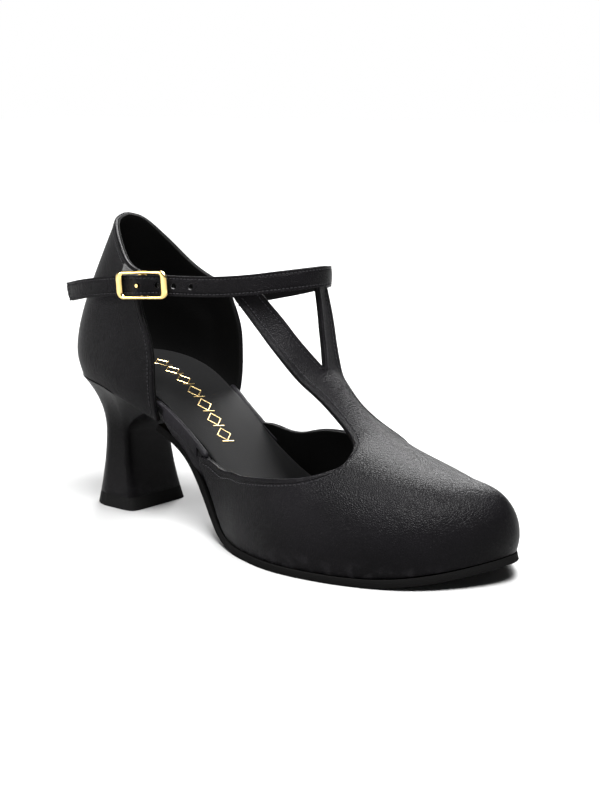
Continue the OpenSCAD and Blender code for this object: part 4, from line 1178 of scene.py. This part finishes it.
# %% [markdown]
# ## Folded edges and stitches
# The leather's free edges are folded under, which leaves a narrow raised band
# beside each edge, and a row of thread runs along it. The band is a soft strip
# laid on the leather. The stitches repeat hundreds of times, so Geometry Nodes
# place them: a path becomes a curve, the curve gets evenly spaced points, and
# each point gets a small grain of thread that lies along the path and stands
# square to the leather.

# %% Paths on the leather
WALK_STEP = 1.6


def walk(points):
    """Even points along a smooth curve through points."""
    dense = [through(points, k) for k in np.linspace(0, len(points) - 1, len(points) * 12)]
    lengths = np.concatenate([[0], np.cumsum([np.linalg.norm(b - a)
                                              for a, b in zip(dense, dense[1:])])])
    count = max(int(round(lengths[-1] / WALK_STEP)), 2)
    at = np.linspace(0, lengths[-1], count + 1)
    return np.array([[np.interp(a, lengths, [d[i] for d in dense]) for i in range(3)]
                     for a in at])


def on_skin(tree, point):
    """The nearest point of the leather, and its outer direction."""
    found, normal, _, _ = tree.find_nearest(Vector(point) * MM)
    return np.array(found) / MM, np.array(normal)


def edge_paths(edge, inside):
    """Matching walks along an edge and along the points next to it."""
    line_a = walk(edge)
    ks = np.linspace(0, len(edge) - 1, len(line_a))
    into = [unit(through(inside, k) - through(edge, k)) for k in ks]
    return line_a, np.array(into)


def fold_strip(name, tree, edge, inside, width=2.1, proud=0.28, trim=0.0):
    """A raised band beside an edge, wrapped a little way round it."""
    line_a, into = edge_paths(edge, inside)
    profile = [(-0.14, -0.75), (-0.2, -0.25), (-0.06, 0.14), (0.35, proud),
               (width * 0.5, proud * 1.1),
               (width - 0.35, proud), (width, 0.05), (width - 0.1, -0.12), (0.5, -0.3)]
    skip = int(trim / WALK_STEP)
    keep = slice(skip, len(line_a) - skip)
    verts = []
    for p, d in zip(line_a[keep], into[keep]):
        _, n = on_skin(tree, p + d * 0.8)
        d = unit(d - n * (d @ n))
        base, _ = on_skin(tree, p)
        verts += [base + d * a + n * h for a, h in profile]
    obj = face_outwards(new_object(name, verts, tube_faces(len(verts) // len(profile),
                                                           len(profile))))
    add_modifier(obj, "SUBSURF", levels=1, render_levels=1)
    return shade_smooth(bake_modifiers(obj))


print("path tools ready")

# %% Edges of the vamp, the T-strap and the quarters
def rows_of(s, j, first, final):
    return [upper[s][i][j] for i in range(first, final + 1)]


WING_LAST = CLOSED_ROWS + WING_ROWS
VAMP_EDGES = {"_topline": (WING_COLS, WING_COLS - 1, CLOSED_ROWS, WING_LAST),
              "_strap_side": (WING_COLS + 1, WING_COLS + 2, CLOSED_ROWS, TOP_ROW - 1),
              "_arm_inside": (COLS, COLS - 1, NOTCH_ROW, TOP_ROW - 1)}
vamp_edges = {word + part: (rows_of(s, at, first, final), rows_of(s, within, first, final))
              for s, word in SIDES for part, (at, within, first, final) in VAMP_EDGES.items()}
quarter_edges = {}
for side, word, rows in ((1, "outer", range(2 * QUARTER_ROWS, QUARTER_ROWS - 1, -1)),
                         (-1, "inner", range(0, QUARTER_ROWS + 1))):
    quarter_edges[word + "_quarter_front"] = (list(quarter[rows[0]]), list(quarter[rows[0] - side]))
    quarter_edges[word + "_quarter_top"] = ([quarter[i][QUARTER_COLS] for i in rows],
                                            [quarter[i][QUARTER_COLS - 1] for i in rows])
folds = []
for name, (edge, inside) in vamp_edges.items():
    folds.append(fold_strip("fold_" + name, vamp_skin, edge, inside,
                            1.7 if "arm" in name else 2.1, trim=0 if "arm" in name else 1.6))
for name, (edge, inside) in quarter_edges.items():
    skin = outer_skin if "outer" in name else inner_skin
    folds.append(fold_strip("fold_" + name, skin, edge, inside, 2.0))
for fold in folds:
    hand_over(fold, "shoe", "upper_leather", upper_leather)
print(len(folds), "folded edges")


# %% Geometry Nodes that lay small shapes along a path
class LayingTree:
    """A tree whose shapes follow a path and stand square to a surface."""

    def __init__(self, name, surface, finish, **sizes):
        self.tree = bpy.data.node_groups.new(name, "GeometryNodeTree")
        panel = self.tree.interface
        kinds = {"Path": "Geometry", surface: "Object", **{word: "Float" for word in sizes},
                 finish: "Material"}
        for word, kind in kinds.items():
            socket = panel.new_socket(word, in_out="INPUT", socket_type="NodeSocket" + kind)
            if word in sizes:
                socket.default_value = sizes[word] * MM
        panel.new_socket("Result", in_out="OUTPUT", socket_type="NodeSocketGeometry")
        self.given = self.tree.nodes.new("NodeGroupInput").outputs
        self.finish = self.given[finish]
        curve = self.add("MeshToCurve", Mesh=self.given["Path"])[0]
        self.spots = self.add("ResampleCurve", {"mode": "LENGTH"}, Curve=curve,
                              Length=self.given["Pitch"])[0]
        shape = self.add("ObjectInfo", Object=self.given[surface])["Geometry"]
        self.square = self.add("SampleNearestSurface", {"data_type": "FLOAT_VECTOR"}, Mesh=shape,
                               Value=self.add("InputNormal")[0])["Value"]
        along = self.add("FunctionNodeAlignRotationToVector", {"axis": "X"},
                         Vector=self.add("InputTangent")[0])[0]
        self.facing = self.add("FunctionNodeAlignRotationToVector",
                               {"axis": "Z", "pivot_axis": "X"}, Rotation=along,
                               Vector=self.square)[0]

    def add(self, kind, settings=None, **sockets):
        """Adds a node, with its settings and its inputs, and returns its outputs."""
        made = self.tree.nodes.new(kind if "Node" in kind else "GeometryNode" + kind)
        for key, value in (settings or {}).items():
            setattr(made, key, value)
        for key, value in sockets.items():
            target = made.inputs[key.replace("_", " ")]
            if isinstance(value, bpy.types.NodeSocket):
                self.tree.links.new(value, target)
            else:
                target.default_value = value
        return made.outputs

    def close(self, points, shape, scale, smooth=False):
        """Puts the shape on the points, makes it real and gives it its finish."""
        rows = self.add("InstanceOnPoints", Points=points, Instance=shape, Rotation=self.facing,
                        Scale=scale)[0]
        real = self.add("RealizeInstances", Geometry=rows)[0]
        if smooth:
            real = self.add("SetShadeSmooth", Geometry=real)[0]
        done = self.add("SetMaterial", Geometry=real, Material=self.finish)[0]
        self.tree.links.new(done, self.tree.nodes.new("NodeGroupOutput").inputs["Result"])
        return self.tree


def run_tree(obj, tree, **inputs):
    """Runs a tree on an object, with its inputs set by name, and bakes the result."""
    modifier = obj.modifiers.new(tree.name.title(), "NODES")
    modifier.node_group = tree
    for item in tree.interface.items_tree:
        if item.in_out == "INPUT" and item.name in inputs:
            modifier[item.identifier] = inputs[item.name]
    return bake_modifiers(obj)


print("tree tools ready")


# %% The tree that sews
def sewing_tree():
    """Thread grains along a path, a little above the leather."""
    sewing = LayingTree("sewing", "Leather", "Thread", Pitch=1.7, Length=1.3, Width=0.42, Rise=0.08)
    given = sewing.given
    grain = sewing.add("MeshUVSphere", Segments=6, Rings=5, Radius=0.5)[0]
    size = sewing.add("ShaderNodeCombineXYZ", X=given["Length"], Y=given["Width"],
                      Z=given["Width"])[0]
    rise = sewing.add("ShaderNodeVectorMath", {"operation": "SCALE"}, Vector=sewing.square,
                      Scale=given["Rise"])[0]
    lifted = sewing.add("SetPosition", Geometry=sewing.spots, Offset=rise)[0]
    return sewing.close(lifted, grain, size, smooth=True)


sewing = sewing_tree()
print("sewing tree:", len(sewing.nodes), "nodes")


# %% Sew along the edges
def inner_row(tree, edge, inside, distance, trim):
    """A path on the leather, distance in from an edge and trimmed at both ends."""
    line_a, into = edge_paths(edge, inside)
    skip = int(round(trim / WALK_STEP))
    found = [on_skin(tree, p + d * distance) for p, d in zip(line_a, into)]
    return [at + normal * 0.02 for at, normal in found[skip:len(found) - skip]]


def sew(name, paths, leather, **sizes):
    """Stitches along several paths on one leather piece, as a plain mesh."""
    verts, edges = [], []
    for path in paths:
        edges += [(len(verts) + i, len(verts) + i + 1) for i in range(len(path) - 1)]
        verts += list(path)
    scaled = {word: value * MM for word, value in sizes.items()}
    return shade_smooth(run_tree(new_object(name, verts, [], edges), sewing, Leather=leather,
                                 Thread=thread, **scaled))


vamp_rows = [inner_row(vamp_skin, *pair, *((1.75, WALK_STEP) if "arm" in name else (2.9, 3.2)))
             for name, pair in vamp_edges.items()]
sewn = [sew("stitches_vamp", vamp_rows, vamp)]
for word, skin, leather in (("outer", outer_skin, quarter_outer),
                            ("inner", inner_skin, quarter_inner)):
    rows = [inner_row(skin, *quarter_edges[word + part], 2.8, 3.2)
            for part in ("_quarter_front", "_quarter_top")]
    sewn.append(sew("stitches_" + word + "_quarter", rows, leather))
for piece in sewn:
    hand_over(piece, "shoe", "upper_leather", thread)
print("stitch triangles:", sum(triangles_of(s) for s in sewn))


# %% Sew the strap
def strap_rows(skin, k0, k1, slant=0.0):
    """Two rows near the band's edges, joined across the tip."""
    rows = []
    for z in (-STITCH_LINE, STITCH_LINE):
        end = k1 - slant * (STRAP_W / 2 - z) / STRAP_W * K_PER_MM
        rows.append([on_skin(skin, band_point(k, z, STRAP_T))[0]
                     for k in np.arange(k0, end, 0.14)])
    return rows


STRAP_STITCH = {"Pitch": 1.6, "Length": 1.2, "Width": 0.4}
sewn_main = sew("stitches_strap", strap_rows(main_skin, 0.25, CUT_K), strap_main, **STRAP_STITCH)
tail_rows = strap_rows(tail_skin, CUT_K + 0.1, TAIL_K - 0.22, TIP_SLANT)
tip_row = [on_skin(tail_skin, lerp(tail_rows[0][-1], tail_rows[1][-1], f))[0]
           for f in np.linspace(0, 1, 6)]
sewn_tail = sew("stitches_strap_tail", tail_rows + [tip_row], strap_tail, **STRAP_STITCH)
bend_piece(sewn_main, swing, swing_bend, "strap_leather", thread)
bend_piece(sewn_tail, lift, tip_bend, "strap_leather", thread)
print("strap stitches:", triangles_of(sewn_main) + triangles_of(sewn_tail), "triangles")

# %% [markdown]
# ## A plain gold ornament on the sock
# Such shoes often carry a gold-foil stamp on the sock. Here it is a neutral
# pattern of small lozenges and bars, laid on the sock by a second tree.

# %% Lozenges along the sock
def ornament_tree():
    """Lozenge outlines at points of a path, with a bar between each pair."""
    stamp = LayingTree("ornament", "Sock", "Foil", Pitch=8, Lozenge=6, Line=0.32)
    given = stamp.given
    line = stamp.add("CurvePrimitiveCircle", Resolution=6, Radius=given["Line"])[0]
    square = stamp.add("CurvePrimitiveQuadrilateral", {"mode": "RECTANGLE"},
                       Width=given["Lozenge"], Height=given["Lozenge"])[0]
    lozenge = stamp.add("Transform", Geometry=square, Rotation=(0, 0, math.pi / 4),
                        Scale=(0.8, 0.9, 1))[0]
    outline = stamp.add("CurveToMesh", Curve=lozenge, Profile_Curve=line)[0]
    bar = stamp.add("MeshCylinder", Vertices=8, Radius=given["Line"], Depth=given["Lozenge"])[0]
    lain = stamp.add("Transform", Geometry=bar, Rotation=(math.pi / 2, 0, 0),
                     Translation=(4 * MM, 0, 0))[0]
    both = stamp.tree.nodes.new("GeometryNodeJoinGeometry")
    stamp.tree.links.new(outline, both.inputs[0])
    stamp.tree.links.new(lain, both.inputs[0])
    return stamp.close(stamp.spots, both.outputs[0], (1.0, 1.0, 0.4))


STAMP_POINTS = 24
stamp_path = [on_skin(sock_skin, (lerp(14, 62, f), lerp(4, -7, f), lerp(66, 42, f)))[0]
              for f in np.linspace(0, 1, STAMP_POINTS)]
ornament = new_object("foil_ornament", stamp_path, [],
                      [(i, i + 1) for i in range(STAMP_POINTS - 1)])
run_tree(ornament, ornament_tree(), Sock=sock, Foil=foil_gold)
hand_over(shade_smooth(ornament, 40), "shoe", "buckle_gold", foil_gold)
print("ornament:", triangles_of(ornament), "triangles")

# %% [markdown]
# ## Parts whose shape is right already
# The fasteners, the heel's block and ground face, the shank, the stiffeners and
# the fillers keep the solid model's own shape. They only need their finish.

# %% Finishes for the remaining parts
node_finish = {
    "toe_puff": stiff_board, "heel_counter": stiff_board, "insole_board": fibre_board,
    "steel_shank": plain_steel, "shank_rivets": rivet_brass, "waist_filler": cork_filler,
    "forepart_filler": cork_filler, "heel_block": heel_plastic, "heel_top_piece": top_rubber,
    "top_piece_pins": plain_steel, "heel_screw": plain_steel, "heel_nails": plain_steel,
    "buckle_centre_bar": buckle_gold, "buckle_hook": buckle_gold}
for node, material in node_finish.items():
    obj = frame["nodes"][node]
    obj.data.materials.clear()
    obj.data.materials.append(material)
print(len(node_finish), "parts finished")

# %% [markdown]
# ## Floor and closing
# The floor is a wide pale sheet that belongs to the studio, not to the shoe. It
# glows more with distance, so that it meets the white horizon without a line.

# %% Floor
FLOOR_HALF, FLOOR_Z = 9000, -0.05
floor = new_object("studio_floor", [(x * FLOOR_HALF, y * FLOOR_HALF, FLOOR_Z) for x, y in
                                    ((-1, -1), (1, -1), (1, 1), (-1, 1))], [(0, 1, 2, 3)])
paper = Finish("studio_paper")
spread = paper.node("VectorMath", {"operation": "LENGTH"}, {"Vector": paper.place()}, "Value")
floor.data.materials.append(paper.done(
    Base_Color=paper.mix((0.27, 0.27, 0.27), (0.28, 0.28, 0.28), paper.noise(3)), Roughness=0.7,
    Emission_Color=paper.mix((0, 0, 0), (1, 1, 1), spread.between(0.25, 0.9)),
    Emission_Strength=1.0))
print("floor laid")
